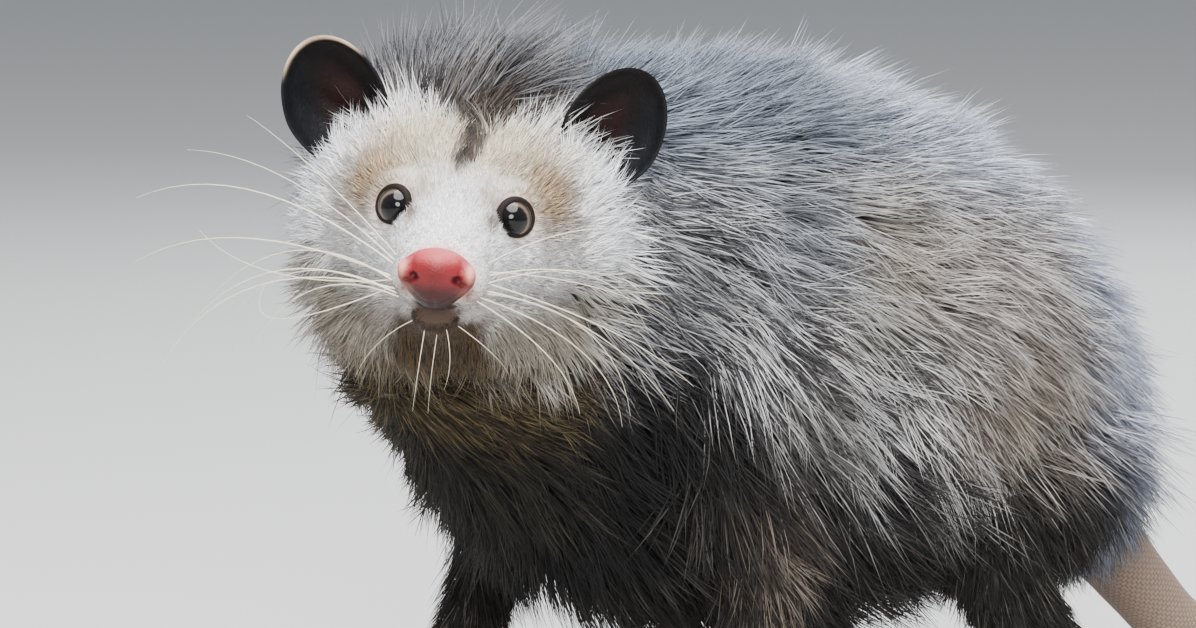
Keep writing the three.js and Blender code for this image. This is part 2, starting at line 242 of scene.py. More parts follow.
TAIL = [
    (-138, 0, 84, 17, 17, 17),
    (-150, 0, 72, 16, 16, 16),
    (-166, 0, 58, 14.8, 14.8, 14.8),
    (-186, 1, 38, 12.7, 12.7, 12.7),
    (-207, 3, 19.5, 11.4, 11.4, 11.4),
    (-236, 5, 11.0, 10.6, 10.6, 10.8),
    (-272, 3, 9.8, 9.6, 9.6, 9.7),
    (-306, -8, 8.5, 8.4, 8.4, 8.4),
    (-334, -28, 7.1, 7.0, 7.0, 7.0),
    (-352, -56, 5.8, 5.6, 5.6, 5.7),
    (-360, -88, 4.2, 4.0, 4.0, 4.1),
    (-358, -112, 2.8, 2.7, 2.7, 2.7),
]
SKULL = [
    (47, 0, -14.0, 9.5, 7.5, 10.0),
    (38, 0, -14.5, 12.5, 9.5, 11.5),
    (27, 0, -15.5, 14.5, 12.5, 12.0),
    (16, 0, -16.0, 17.0, 16.5, 12.5),
    (5, 0, -16.0, 21.0, 20.5, 15.0),
    (-6, 0, -15.5, 27.5, 25.0, 19.5),
    (-18, 0, -14.5, 35.0, 28.5, 25.5),
    (-32, 0, -13.0, 41.0, 31.0, 32.5),
    (-47, 0, -12.0, 41.0, 31.0, 36.5),
    (-62, 0, -12.0, 33.0, 27.0, 35.0),
]
JAW = [
    (40, 0, -27.0, 6.5, 4.0, 5.0),
    (31, 0, -28.5, 9.5, 5.5, 7.0),
    (20, 0, -30.0, 13.5, 6.5, 9.0),
    (6, 0, -31.5, 20.0, 9.5, 11.0),
    (-10, 0, -32.0, 29.0, 12.5, 13.0),
    (-28, 0, -31.0, 35.0, 16.0, 16.0),
]

FORWARD = (1, 0, 0)
flesh = [
    moulded("trunk", TRUNK, (16, 14), square=0.95),
    moulded("foreleg_left", FORELEG, (20, 4), FORWARD),
    moulded("foreleg_right", FORELEG_RIGHT, (20, 4), FORWARD),
    moulded("hind_leg_left", HIND_LEG, (22, 4), FORWARD),
    moulded("hind_leg_right", other_side(HIND_LEG, HIND_RIGHT_BACK), (22, 4), FORWARD),
    moulded("tail", TAIL, (10, 2.5), rings=110, around=24),
    moulded("skull", SKULL, (4, 12), square=0.9, in_head=True, rings=64, around=40),
    moulded("jaw", JAW, (4, 10), in_head=True),
]

# The paws: a soft sole with five digits that spread like fingers. The hind foot's first digit is a
# clawless thumb that stands out sideways. Each digit swells at its knuckles and its end pad.


def digits_round(at, outward, spread, lengths, width):
    """(root, direction, length) of digits that fan out round the front of a sole."""
    digits = []
    for i, length in enumerate(lengths):
        share = i / (len(lengths) - 1) - 0.5
        angle = math.radians(share * spread)
        root = (at[0] + math.cos(angle) * width * 0.55, at[1] + outward * share * width)
        digits.append((root, (math.cos(angle), outward * math.sin(angle)), length))
    return digits


def digit_stations(digit, profile):
    (x, y), (dx, dy), length = digit
    size = math.hypot(dx, dy)
    return [
        (x + dx / size * length * share, y + dy / size * length * share, up, r, r, below)
        for share, up, r, below in profile
    ]


TOE = [
    (-0.2, 6.4, 3.0, 3.4),
    (0.12, 6.0, 2.9, 3.2),
    (0.36, 5.3, 2.4, 2.6),
    (0.58, 4.7, 2.6, 3.0),
    (0.80, 3.7, 2.2, 2.6),
    (1.0, 3.0, 2.7, 2.9),
]
THUMB = [(-0.3, 7.0, 4.2, 4.4), (0.3, 5.2, 3.3, 3.6), (0.65, 4.3, 2.9, 3.4), (1.0, 3.6, 3.4, 3.5)]
paws = {
    "forefoot_left": (71, 61, 1, True),
    "forefoot_right": (96, -58, -1, True),
    "hindfoot_left": (-82, 79, 1, False),
    "hindfoot_right": (-82 + HIND_RIGHT_BACK, -79, -1, False),
}
clawed_digits = []
for paw, (x, y, outward, fore) in paws.items():
    if fore:
        sole = [(x - 8, y, 9, 8, 7, 8.8), (x + 2, y, 7.4, 9.8, 6, 7.3), (x + 10, y, 5.8, 10.2, 3.6, 5.7)]
        digits = digits_round((x + 6, y), outward, 118, (12, 15, 16.5, 15.5, 13), 20)
    else:
        sole = [(x - 12, y, 9, 8, 8, 8.8), (x + 6, y, 7.6, 9, 7, 7.4), (x + 26, y, 6, 10, 4.6, 5.9)]
        digits = digits_round((x + 22, y + outward * 2), outward, 62, (15, 17, 16.5, 14), 18)
        thumb = ((x + 12, y - outward * 8), (0.35, -outward), 14)
        flesh.append(moulded(paw + "_thumb", digit_stations(thumb, THUMB), (2, 3), around=16, rings=24))
    flesh.append(moulded(paw + "_sole", sole, (6, 5), around=24, rings=24))
    for i, digit in enumerate(digits):
        toe = digit_stations(digit, TOE)
        flesh.append(moulded(f"{paw}_digit_{i}", toe, (2, 2.6), around=16, rings=28))
        clawed_digits.append(digit)

VOXEL = 0.0013


def picked(*pieces):
    """Selects these pieces alone, with the first one active."""
    bpy.ops.object.select_all(action="DESELECT")
    for piece in pieces:
        piece.select_set(True)
    bpy.context.view_layer.objects.active = pieces[0]


def joined(pieces, name):
    picked(*pieces)
    bpy.ops.object.join()
    bpy.context.object.name = name
    return bpy.context.object


def finish_with(piece, kind, **settings):
    """Adds a modifier and applies it."""
    picked(piece)
    modifier = piece.modifiers.new(kind.lower(), kind)
    for key, value in settings.items():
        setattr(modifier, key, value)
    bpy.ops.object.modifier_apply(modifier=modifier.name)


skin = joined(flesh, "skin")
finish_with(skin, "REMESH", mode="VOXEL", voxel_size=VOXEL)
finish_with(skin, "SMOOTH", factor=0.5, iterations=5)

# The skin's own relief: a raised collar round each eye, whisker pads on the muzzle, a shallow dip
# between the brows and a step back under the nose. Then it is thinned where the coat will cover it.

EYE_RADIUS = 6.6
EYE_AT = {"left": np.array((-4, 17.2, -2.5)), "right": np.array((-4, -17.2, -2.5))}
EYE_SLIT = {"left": unit((0.78, 0.56, 0.26)), "right": unit((0.78, -0.56, 0.26))}
COLLAR_HIGH = 2.5
COLLAR_FROM = 4.6
COLLAR_TO = 12.5
SKIN_TRIANGLES = 190000


def body_of(points):
    """The frame's metres in body millimetres."""
    points = np.asarray(points, float) * 1000
    forward = BODY_SHIFT[1] - points[..., 1]
    left = points[..., 0] - BODY_SHIFT[0]
    return np.stack([forward, left, points[..., 2]], -1)


def head_of(points):
    """Body millimetres in head millimetres."""
    return (np.asarray(points, float) - HEAD_AT) @ HEAD_TURN


def smooth_step(low, high, value):
    """0 up to low, 1 from high on, and smooth between them."""
    s = np.clip((value - low) / (high - low), 0, 1)
    return s * s * (3 - 2 * s)


def patch(points, centre, radii):
    """1 at the centre of a soft oval patch, falling smoothly to 0 at its radii."""
    distance = np.linalg.norm((points - np.asarray(centre)) / np.asarray(radii), axis=1)
    return smooth_step(0, 1, 1 - np.clip(distance, 0, 1))


def from_eye(points, side):
    """How far points are from an eye, how far ahead of it, and the way out from its axis."""
    offset = points - EYE_AT[side]
    ahead = offset @ EYE_SLIT[side]
    return np.linalg.norm(offset, axis=1), ahead, offset - ahead[:, None] * EYE_SLIT[side]


head = head_of(body_of(places_of(skin)))
for side in ("left", "right"):
    far, ahead, away = from_eye(head, side)
    beside = np.linalg.norm(away, axis=1)
    near = (far < 20) & (ahead > -4)
    collar = (COLLAR_HIGH - ahead) * (1 - smooth_step(6.8, COLLAR_TO, beside))
    lift = np.where(near & (beside > COLLAR_FROM), collar, 0)
    sink = np.where(near & (beside <= COLLAR_FROM), -np.maximum(ahead + 1, 0), 0)
    head += EYE_SLIT[side] * (lift + sink)[:, None]
for flank in (1, -1):
    pad = patch(head, (36, flank * 12, -19), (14, 11, 10))
    head += np.array((0, flank, -0.2)) * (2.0 * pad)[:, None]
head[:, 2] -= 1.2 * patch(head, (-8, 0, 14), (24, 9, 16))
head[:, 0] -= 3.2 * patch(head, (51, 0, -20), (10, 12, 9))
set_places(skin, place(from_head(head)))
finish_with(skin, "SMOOTH", factor=0.5, iterations=2)

head = head_of(body_of(places_of(skin)))
keep = patch(head, (20, 0, -12), (60, 50, 50))
keep = np.maximum(keep, smooth_step(26, 14, body_of(places_of(skin))[:, 2]))
group = skin.vertex_groups.new(name="thinned")
for level in range(11):
    chosen = np.flatnonzero(np.round((1 - keep) * 10).astype(int) == level)
    if level and len(chosen):
        group.add(chosen.tolist(), level / 10, "REPLACE")
skin.data.calc_loop_triangles()
share_kept = SKIN_TRIANGLES / len(skin.data.loop_triangles)
finish_with(skin, "DECIMATE", ratio=share_kept, vertex_group="thinned", vertex_group_factor=1.0)
finish_with(skin, "TRIANGULATE")
bpy.ops.object.shade_smooth()

# Which part of the body each point of the skin belongs to, softened where two parts meet, and the
# lie of the hair there: back along the trunk and down its sides, down the legs, out from the nose.

places = body_of(places_of(skin))
head = head_of(places)
count = len(places)
corners = np.empty(len(skin.data.polygons) * 3, np.int32)
skin.data.polygons.foreach_get("vertices", corners)
corners = corners.reshape(-1, 3)
edges = np.empty(len(skin.data.edges) * 2, np.int32)
skin.data.edges.foreach_get("vertices", edges)
here, there = edges.reshape(-1, 2).T
neighbours = np.bincount(np.r_[here, there], minlength=count)[:, None]


def softened(field, times):
    """A field on the skin, averaged again and again with its neighbours."""
    for _ in range(times):
        total = np.empty_like(field)
        for axis in range(field.shape[1]):
            total[:, axis] = np.bincount(here, field[there, axis], count)
            total[:, axis] += np.bincount(there, field[here, axis], count)
        field = 0.4 * field + 0.6 * total / neighbours
    return field


first, second, third = (places[corners[:, corner]] for corner in range(3))
cross = np.cross(second - first, third - first)
areas = np.linalg.norm(cross, axis=1) / 2
outward = np.zeros((count, 3))
for axis in range(3):
    for corner in range(3):
        outward[:, axis] += np.bincount(corners[:, corner], cross[:, axis], count)
outward = unit(softened(unit(outward), 2))
flow_outward = unit(softened(outward, 25))

REGIONS = [
    "trunk", "foreleg_left", "foreleg_right", "hind_leg_left", "hind_leg_right", "tail", "head", "paw",
]


def region_of(part):
    """The region's number that a part of the flesh belongs to."""
    if part in ("skull", "jaw"):
        return REGIONS.index("head")
    if "foot" in part:
        return REGIONS.index("paw")
    return REGIONS.index(part)


clue_places = np.vstack([points for _, points, _, _ in clues])
clue_region = np.concatenate([np.full(len(t), region_of(part)) for part, _, t, _ in clues])
clue_share = np.concatenate([t for _, _, t, _ in clues])
clue_tangent = np.vstack([tangent for _, _, _, tangent in clues])
tree = KDTree(len(clue_places))
for i, point in enumerate(clue_places):
    tree.insert(point, i)
tree.balance()
nearest = np.array([tree.find(point)[1] for point in places])
region = clue_region[nearest]
share_along = clue_share[nearest]
part_tangent = clue_tangent[nearest]
masks = softened(np.eye(len(REGIONS))[region], 18)
on = {name: masks[:, i] for i, name in enumerate(REGIONS)}
on_leg = on["foreleg_left"] + on["foreleg_right"] + on["hind_leg_left"] + on["hind_leg_right"]

forward, left, up = places.T
aside = np.abs(left)
to_nose, head_left, head_up = head.T

sideways = np.clip(np.abs(flow_outward[:, 1]), 0, 1)
haunch = patch(np.stack([forward, aside, up], 1), (-66, 75, 100), (64, 80, 80))
rump = smooth_step(-92, -128, forward)
down = 0.85 * sideways + 1.3 * haunch + 1.6 * rump + 0.5 * smooth_step(120, 70, up) * sideways
trunk_lie = np.stack([-np.ones(count), 0.25 * flow_outward[:, 1], -down], 1)
neck = smooth_step(92, 128, forward)
trunk_lie += np.stack([0.3 * neck, 0.5 * neck * np.sign(left - 6), np.zeros(count)], 1)
leg_lie = np.tile((-0.18, 0.0, -1.0), (count, 1))
paw_lie = np.tile((1.0, 0.0, -0.4), (count, 1))
head_lie = unit(head - (56, 0, -17))
head_lie[:, 2] += 0.25 * smooth_step(-5, -30, to_nose) * smooth_step(8, 22, head_up)
head_lie[:, 2] -= 0.45 * smooth_step(-8, -36, to_nose) * smooth_step(0, -24, head_up)
head_lie[:, 2] -= 0.7 * smooth_step(-22, -32, head_up) * smooth_step(34, 14, to_nose)
eye_room = np.zeros(count)
for side in ("left", "right"):
    far, _, away = from_eye(head, side)
    beside = np.linalg.norm(away, axis=1)
    around_eye = smooth_step(13, 7, beside) * (far < 16)
    head_lie += away / np.maximum(beside, 1)[:, None] * (1.15 * around_eye)[:, None]
    eye_room = np.maximum(eye_room, around_eye)
head_lie = head_lie @ HEAD_TURN.T
lie = trunk_lie * on["trunk"][:, None] + leg_lie * on_leg[:, None] + paw_lie * on["paw"][:, None]
lie += head_lie * on["head"][:, None] + part_tangent * on["tail"][:, None]
lie -= outward * (lie * outward).sum(1)[:, None]
lie = softened(unit(lie), 14)
lie = unit(lie - outward * (lie * outward).sum(1)[:, None])

# How long the coat is, how far it stands off and how coarse it is, from the velvet of the muzzle to
# the shaggy winter coat of the back; the tail and the toes are bare.


def by_table(value, table):
    """Straight lines through (value, result) pairs."""
    x, y = zip(*sorted(table))
    return np.interp(value, x, y)


trunk_length = 30 - 3 * smooth_step(100, 55, up) - 13 * neck * smooth_step(205, 170, up)
trunk_length -= 4 * neck * smooth_step(190, 215, up)
EAR_AT = (-48, 43, 20)
from_ear = np.linalg.norm(np.stack([to_nose, np.abs(head_left), head_up], 1) - EAR_AT, axis=1)
beside_ear = smooth_step(42, 27, from_ear) * (0.3 + 0.7 * smooth_step(-8, 8, head_left))
nape = smooth_step(84, 118, forward) * smooth_step(180, 215, up)
belly = smooth_step(0.15, -0.45, flow_outward[:, 2])
belly = belly * smooth_step(-104, -70, forward) * smooth_step(130, 100, up)
trunk_length += 12 * nape + 10 * belly
trunk_length *= 1 - 0.72 * beside_ear
leg_length = by_table(up, [(140, 38), (105, 34), (80, 24), (55, 15), (30, 9), (14, 6), (5, 4)])
HEAD_HAIR = [
    (-70, 35), (-55, 32), (-42, 26), (-30, 18), (-18, 12),
    (-5, 7.5), (8, 6.2), (20, 5.0), (38, 3.2), (50, 2),
]
head_length = by_table(to_nose, HEAD_HAIR)
under_jaw = smooth_step(-26, -38, head_up)
cheek = smooth_step(-12, -38, to_nose) * smooth_step(14, 27, np.abs(head_left))
cheek = cheek * smooth_step(16, 2, head_up)
crown = smooth_step(-24, -46, to_nose) * smooth_step(4, 20, head_up)
low_cheek = cheek * smooth_step(-8, -26, head_up)
head_length *= 1 + 1.5 * under_jaw * smooth_step(34, 12, to_nose) * smooth_step(-40, -10, to_nose)
head_length *= (1 - 0.06 * cheek + 0.22 * low_cheek + 0.15 * crown) * (1 - 0.45 * eye_room)
TAIL_LENGTH = 345
tail_from_root = share_along * TAIL_LENGTH
tail_length = np.where(tail_from_root < 75, 30 * (1 - smooth_step(25, 75, tail_from_root)), 0)
length = trunk_length * on["trunk"] + leg_length * on_leg + head_length * on["head"]
length += tail_length * on["tail"] + 4.0 * on["paw"]

head_lean = by_table(to_nose, [(-60, 40), (-30, 34), (-10, 24), (20, 19), (50, 17)])
head_lean = head_lean + 10 * cheek + 18 * crown
head_lean += 20 * under_jaw * smooth_step(34, 12, to_nose)
trunk_lean = 36 + 3 * smooth_step(0.3, 0.8, flow_outward[:, 2]) + 26 * nape + 12 * belly
trunk_lean -= 8 * neck * smooth_step(205, 170, up)
trunk_lean -= 14 * beside_ear
lean = trunk_lean * on["trunk"] + 24 * on_leg + head_lean * on["head"] + 22 * on["tail"] + 20 * on["paw"]

width = by_table(length, [(2, 0.30), (5, 0.38), (10, 0.46), (20, 0.62), (30, 0.78), (42, 0.92)])
layers = by_table(length, [(2, 6), (6, 9), (12, 12), (20, 15), (30, 17), (42, 20)])
layers *= 1.01 + 0.15 * on["head"] + 0.5 * nape - 0.45 * on_leg - 0.45 * on["paw"]

# The markings, some of them painted shade and painted light, as soft patches laid over each other
# where the hairs show. Each gives the colours of the pale and of the dark hairs there and the share of
# pale ones; the skin takes the same marks.


def mixed(a, b, mask):
    """Rows of a where the mask is 0, of b where it is 1."""
    return a + (b - a) * np.asarray(mask)[:, None]


def tone(red, green, blue):
    """A paint's screen values as the linear ones that materials take."""
    screen = np.array((red, green, blue)) / 255
    return np.where(screen <= 0.04045, screen / 12.92, ((screen + 0.055) / 1.055) ** 2.4)


pale = np.tile(tone(214, 213, 214), (count, 1))
dark = np.tile(tone(66, 64, 67), (count, 1))
fair = np.full(count, 0.50)


def lay_mark_and_painted_light(mask, pale_to, dark_to, fair_to):
    """Lays one patch over those before it: a marking, painted shade or painted light."""
    mask = np.clip(mask, 0, 1)
    pale[:] = mixed(pale, tone(*pale_to), mask)
    dark[:] = mixed(dark, tone(*dark_to), mask)
    fair[:] = fair + (fair_to - fair) * mask


shown = places + (lie * 0.60 + outward * 0.30) * length[:, None]  # where a hair's outer half shows
shown_head = head_of(shown)
shown_forward, shown_left, shown_up = shown.T
mirrored = np.stack([shown_forward, np.abs(shown_left), shown_up], 1)
face = np.stack([shown_head[:, 0], np.abs(shown_head[:, 1]), shown_head[:, 2]], 1)
face_x, face_y, face_z = face.T

# the blue-grey back, the grizzled flank and the pale haunch and rump; the blue cast on the back, hind
# back and rump is painted cool sky light over the coat's own grey
lay_mark_and_painted_light(smooth_step(176, 214, shown_up), (132, 139, 151), (81, 86, 95), 0.58)
# the hind back: pale grey with a painted blue cast of cool sky light
hind_back = smooth_step(170, 206, shown_up) * smooth_step(14, -46, shown_forward)
lay_mark_and_painted_light(hind_back, (193, 198, 212), (143, 147, 158), 0.65)
lay_mark_and_painted_light(patch(mirrored, (-5, 80, 168), (66, 60, 44)), (170, 163, 151), (126, 118, 110), 0.62)
lay_mark_and_painted_light(patch(mirrored, (36, 76, 178), (34, 50, 40)), (146, 150, 158), (101, 104, 111), 0.60)
lay_mark_and_painted_light(patch(mirrored, (-50, 78, 160), (60, 60, 40)), (189, 181, 179), (143, 135, 133), 0.60)
lay_mark_and_painted_light(patch(mirrored, (-60, 88, 114), (68, 60, 62)) * 1.1, (153, 142, 131), (113, 102, 93), 0.56)
lay_mark_and_painted_light(patch(mirrored, (30, 66, 112), (40, 50, 34)), (134, 132, 130), (94, 91, 90), 0.56)
lay_mark_and_painted_light(patch(mirrored, (84, 66, 168), (36, 50, 50)) * 0.9, (112, 114, 119), (70, 71, 75), 0.46)
# the rump and its lower part: grey with a painted blue cast of cool sky light
lay_mark_and_painted_light(smooth_step(-74, -126, shown_forward), (177, 183, 199), (128, 133, 147), 0.66)
low_rump = smooth_step(-60, -104, shown_forward) * smooth_step(116, 72, shown_up)
lay_mark_and_painted_light(low_rump, (126, 132, 146), (76, 80, 91), 0.5)
# the dark of the belly, chest and throat, which rises towards the shoulder
DUSK_LINE = [(-140, -10), (-112, 0), (-92, 40), (-50, 68), (-13, 97), (33, 86), (70, 134)]
dusk = by_table(shown_forward, DUSK_LINE)
lay_mark_and_painted_light(smooth_step(dusk + 22, dusk - 14, shown_up), (58, 53, 51), (19, 18, 19), 0.22)
# the chest between the forelegs: its own dark fur, darkened further with painted shade under the head
lay_mark_and_painted_light(patch(mirrored, (84, 40, 98), (46, 70, 50)) * 1.3, (34, 31, 30), (12, 11, 12), 0.10)
throat = smooth_step(96, 118, shown_forward) * smooth_step(176, 158, shown_up)
lay_mark_and_painted_light(throat, (96, 82, 57), (45, 38, 25), 0.34)
low_throat = smooth_step(88, 110, shown_forward) * smooth_step(128, 104, shown_up)
lay_mark_and_painted_light(low_throat, (47, 42, 33), (23, 20, 17), 0.14)
# the nape, the dark legs with a browner patch on the left foreleg, the paws and the tail's root
lay_mark_and_painted_light(nape, (108, 108, 112), (53, 52, 54), 0.44)
leg_dark = smooth_step(106, 72, shown_up) * smooth_step(-112, -92, shown_forward)
lay_mark_and_painted_light(on_leg * np.maximum(leg_dark, smooth_step(58, 44, shown_up)), (76, 69, 63), (24, 21, 20), 0.16)
lay_mark_and_painted_light(patch(shown, (46, 72, 72), (26, 34, 48)), (114, 103, 93), (54, 46, 41), 0.42)
lay_mark_and_painted_light(on["paw"], (81, 70, 64), (38, 31, 29), 0.3)
lay_mark_and_painted_light(on["tail"], (142, 127, 112), (77, 68, 60), 0.5)

# the face: white, with beige brows, smudges round the eyes, and a dark crown and blaze
on_head = smooth_step(0.15, 0.85, on["head"])
lay_mark_and_painted_light(on_head, (242, 240, 240), (222, 217, 213), 0.98)
lay_mark_and_painted_light(on_head * patch(face, (-21, 15, 17), (33, 34, 25)) * 1.5, (218, 205, 182), (184, 170, 149), 0.97)
lay_mark_and_painted_light(on_head * patch(face, (-16, 28, 4), (25, 20, 25)) * 1.2, (166, 143, 115), (134, 113, 89), 0.95)
lay_mark_and_painted_light(on_head * patch(face, (19, 0, -3), (34, 11.5, 16)) * 1.5, (255, 253, 253), (244, 240, 238), 1.0)
lay_mark_and_painted_light(on_head * patch(face, (10, 22, -18), (30, 20, 15)) * 1.2, (252, 252, 254), (236, 236, 240), 1.0)
lay_mark_and_painted_light(on_head * patch(face, (1, 10.5, 5), (13, 6, 9)) * 1.1, (190, 177, 164), (152, 138, 126), 0.95)
lay_mark_and_painted_light(on_head * patch(face, (-2, 17.0, -2.0), (15, 13.0, 13.5)) * 1.15, (150, 132, 118), (96, 82, 72), 0.9)
lay_mark_and_painted_light(on_head * patch(face, (12, 13.2, -1), (7.5, 3.8, 6.5)) * 1.2, (140, 124, 113), (98, 84, 75), 0.95)
lay_mark_and_painted_light(on_head * cheek, (244, 245, 249), (224, 224, 228), 1.0)
crown_dark = smooth_step(-34, -56, to_nose) * smooth_step(4, 20, head_up)
lay_mark_and_painted_light(on_head * crown_dark, (112, 105, 101), (64, 58, 55), 0.52)
STRIPE_WIDTHS = [(-64, 28), (-52, 15), (-42, 8), (-30, 5.2), (-16, 3.8), (-8, 2.4), (-2, 0.5)]
STRIPE_MIDDLES = [(-60, 3), (-42, 2.5), (-25, 1.5), (-8, 0)]
off_stripe = np.abs(shown_head[:, 1] - by_table(face_x, STRIPE_MIDDLES))
stripe = smooth_step(1.5, 0.5, off_stripe / by_table(face_x, STRIPE_WIDTHS)) * smooth_step(0, -12, face_x)
lay_mark_and_painted_light(on_head * stripe * smooth_step(0, 6, face_z), (84, 73, 64), (46, 38, 32), 0.42)
# under the face: painted shade over a beige tint under the cheeks and jaw, a browner jaw and chin with
# painted shade on the chin, a pink surround of the nose and the dark lips
# painted shade over a beige tint under the cheeks and the jaw
low_face_beige_and_shade = smooth_step(-19, -36, face_z) * smooth_step(34, 6, face_x)
lay_mark_and_painted_light(on_head * low_face_beige_and_shade * 0.9, (130, 120, 103), (90, 80, 65), 0.8)
# the chin's own brown, deepened with painted shade
chin = smooth_step(-27, -32, face_z) * smooth_step(19, 12, face_y - 0.4 * np.maximum(-face_x, 0))
lay_mark_and_painted_light(on_head * chin * smooth_step(-44, -14, face_x), (80, 61, 36), (45, 34, 20), 0.6)
jaw_back = smooth_step(-14, -40, face_x) * smooth_step(-38, -54, face_z) * smooth_step(36, 18, face_y)
lay_mark_and_painted_light(on_head * jaw_back, (122, 108, 84), (72, 61, 46), 0.5)
lay_mark_and_painted_light(on_head * patch(face, (46, 0, -12), (13, 16, 14)) * 1.5, (232, 176, 168), (206, 140, 132), 1.0)
lay_mark_and_painted_light(on_head * patch(face, (28, 0, -26.0), (30, 19, 3.4)) * 1.2, (70, 52, 40), (42, 29, 21), 0.6)
# painted shade along the whisker pads' lower edges; then a darker, browner patch beside the lower sides of
# the nose
lay_mark_and_painted_light(on_head * patch(face, (38, 14, -23), (14, 8, 5)) * 0.8, (170, 152, 142), (124, 106, 96), 0.9)
lay_mark_and_painted_light(on_head * patch(face, (45, 11, -20), (10, 6, 7)), (158, 124, 114), (122, 92, 82), 0.9)
# the dark lips under the nose, deepened with painted shade below the nose pad
lay_mark_and_painted_light(on_head * patch(face, (44, 0, -29), (21, 19, 8.5)) * 1.8, (64, 48, 36), (40, 29, 21), 0.6)
lay_mark_and_painted_light(on_head * patch(face, (47, 0, -24.5), (14, 12, 4.2)) * 2.2, (46, 28, 21), (32, 19, 14), 0.6)

SCALES_ROUND = 34  # scales round the tail
SCALE_LENGTH = 1.7
flesh_tone = mixed(dark * 0.9, pale, fair * 0.6)
flesh_tone = mixed(flesh_tone, pale * (0.95, 0.86, 0.82), on_head * 0.85)
tail_tone = np.tile(tone(128, 108, 94), (count, 1))
tail_tone = mixed(tail_tone, tone(206, 178, 160), smooth_step(60, 330, tail_from_root))
paw_tone = mixed(np.tile(tone(70, 58, 54), (count, 1)), tone(176, 138, 126), smooth_step(9, 4, up))
flesh_tone = mixed(flesh_tone, paw_tone, smooth_step(0.2, 0.8, on["paw"]))
tail_bare = smooth_step(0.2, 0.8, on["tail"]) * smooth_step(20, 60, tail_from_root)
flesh_tone = mixed(flesh_tone, tail_tone, tail_bare)

from_centre = places - row_at(TAIL, share_along)[:, :3]
tail_side = unit(np.cross((0, 0, 1), part_tangent))
tail_top = np.cross(part_tangent, tail_side)
tail_angle = np.arctan2((from_centre * tail_side).sum(1), (from_centre * tail_top).sum(1))
tail_reach = tail_from_root + ((places - clue_places[nearest]) * part_tangent).sum(1)


def give(piece, name, kind, values):
    """A named attribute on a piece's points."""
    layer = piece.data.attributes.new(name, kind, "POINT")
    values = np.asarray(values, np.float32)
    if kind == "FLOAT_COLOR":
        values = np.hstack([values, np.ones((len(values), 1), np.float32)])
        layer.data.foreach_set("color", values.ravel())
    elif kind == "FLOAT_VECTOR":
        layer.data.foreach_set("vector", values.ravel())
    else:
        layer.data.foreach_set("value", values.ravel())


give(skin, "markings_and_painted_light", "FLOAT_COLOR", np.clip(flesh_tone, 0, 1))
scale_u = tail_angle * SCALES_ROUND / (2 * math.pi)
give(skin, "scales", "FLOAT_VECTOR", np.stack([scale_u, tail_reach / SCALE_LENGTH, np.zeros(count)], 1))
give(skin, "scaly", "FLOAT", smooth_step(0.4, 0.9, on["tail"]) * smooth_step(30, 60, tail_from_root))


class Paint:
    """A material's nodes: adds one, sets its values and joins its sockets."""

    def __init__(self, name):
        self.material = bpy.data.materials.new(name)
        self.material.use_nodes = True
        self.tree = self.material.node_tree
        self.shader = self.tree.nodes["Principled BSDF"]

    def add(self, kind, inputs=None, **settings):
        node = self.tree.nodes.new(kind)
        for key, value in settings.items():
            setattr(node, key, value)
        for key, value in (inputs or {}).items():
            if isinstance(value, bpy.types.NodeSocket):
                self.tree.links.new(value, node.inputs[key])
            else:
                node.inputs[key].default_value = value
        return node

    def feed(self, socket, value):
        if isinstance(value, bpy.types.NodeSocket):
            self.tree.links.new(value, self.shader.inputs[socket])
        else:
            self.shader.inputs[socket].default_value = value

    def carried(self, name):
        """The colours that the piece's own points carry."""
        return self.add("ShaderNodeAttribute", attribute_name=name).outputs["Color"]

    def spread(self, value, low, high):
        """A pattern from 0 to 1 spread from low to high."""
        node = self.add("ShaderNodeMapRange", {"Value": value, "To Min": low, "To Max": high})
        return node.outputs["Result"]

    def emboss(self, height, strength, depth):
        """A pattern pressed into the surface, with its depth in metres."""
        bump = self.add("ShaderNodeBump", {"Height": height, "Strength": strength, "Distance": depth})
        self.feed("Normal", bump.outputs["Normal"])


def mottled(paint, colour, scale, low, high, detail=3):
    """A colour made a little darker and lighter by noise in the piece's own space, with the noise
    and that space."""
    where = paint.add("ShaderNodeTexCoord").outputs["Object"]
    noise = paint.add("ShaderNodeTexNoise", {"Vector": where, "Scale": scale, "Detail": detail})
    shade = paint.spread(noise.outputs["Fac"], low, high)
    shaded = paint.add("ShaderNodeVectorMath", {0: colour, 1: shade}, operation="MULTIPLY")
    return shaded.outputs["Vector"], noise.outputs["Fac"], where


skin_paint = Paint("bare_skin")
colour, grain, where = mottled(skin_paint, skin_paint.carried("markings_and_painted_light"), 420, 0.82, 1.18)
scales = skin_paint.add("ShaderNodeAttribute", attribute_name="scales").outputs["Vector"]
scaly = skin_paint.add("ShaderNodeAttribute", attribute_name="scaly").outputs["Fac"]
rows = skin_paint.add(
    "ShaderNodeTexBrick",
    {
        "Vector": scales, "Scale": 1.0, "Brick Width": 1.0, "Row Height": 1.0,
        "Mortar Size": 0.14, "Mortar Smooth": 0.6,
    },
    offset=0.5,
).outputs["Fac"]
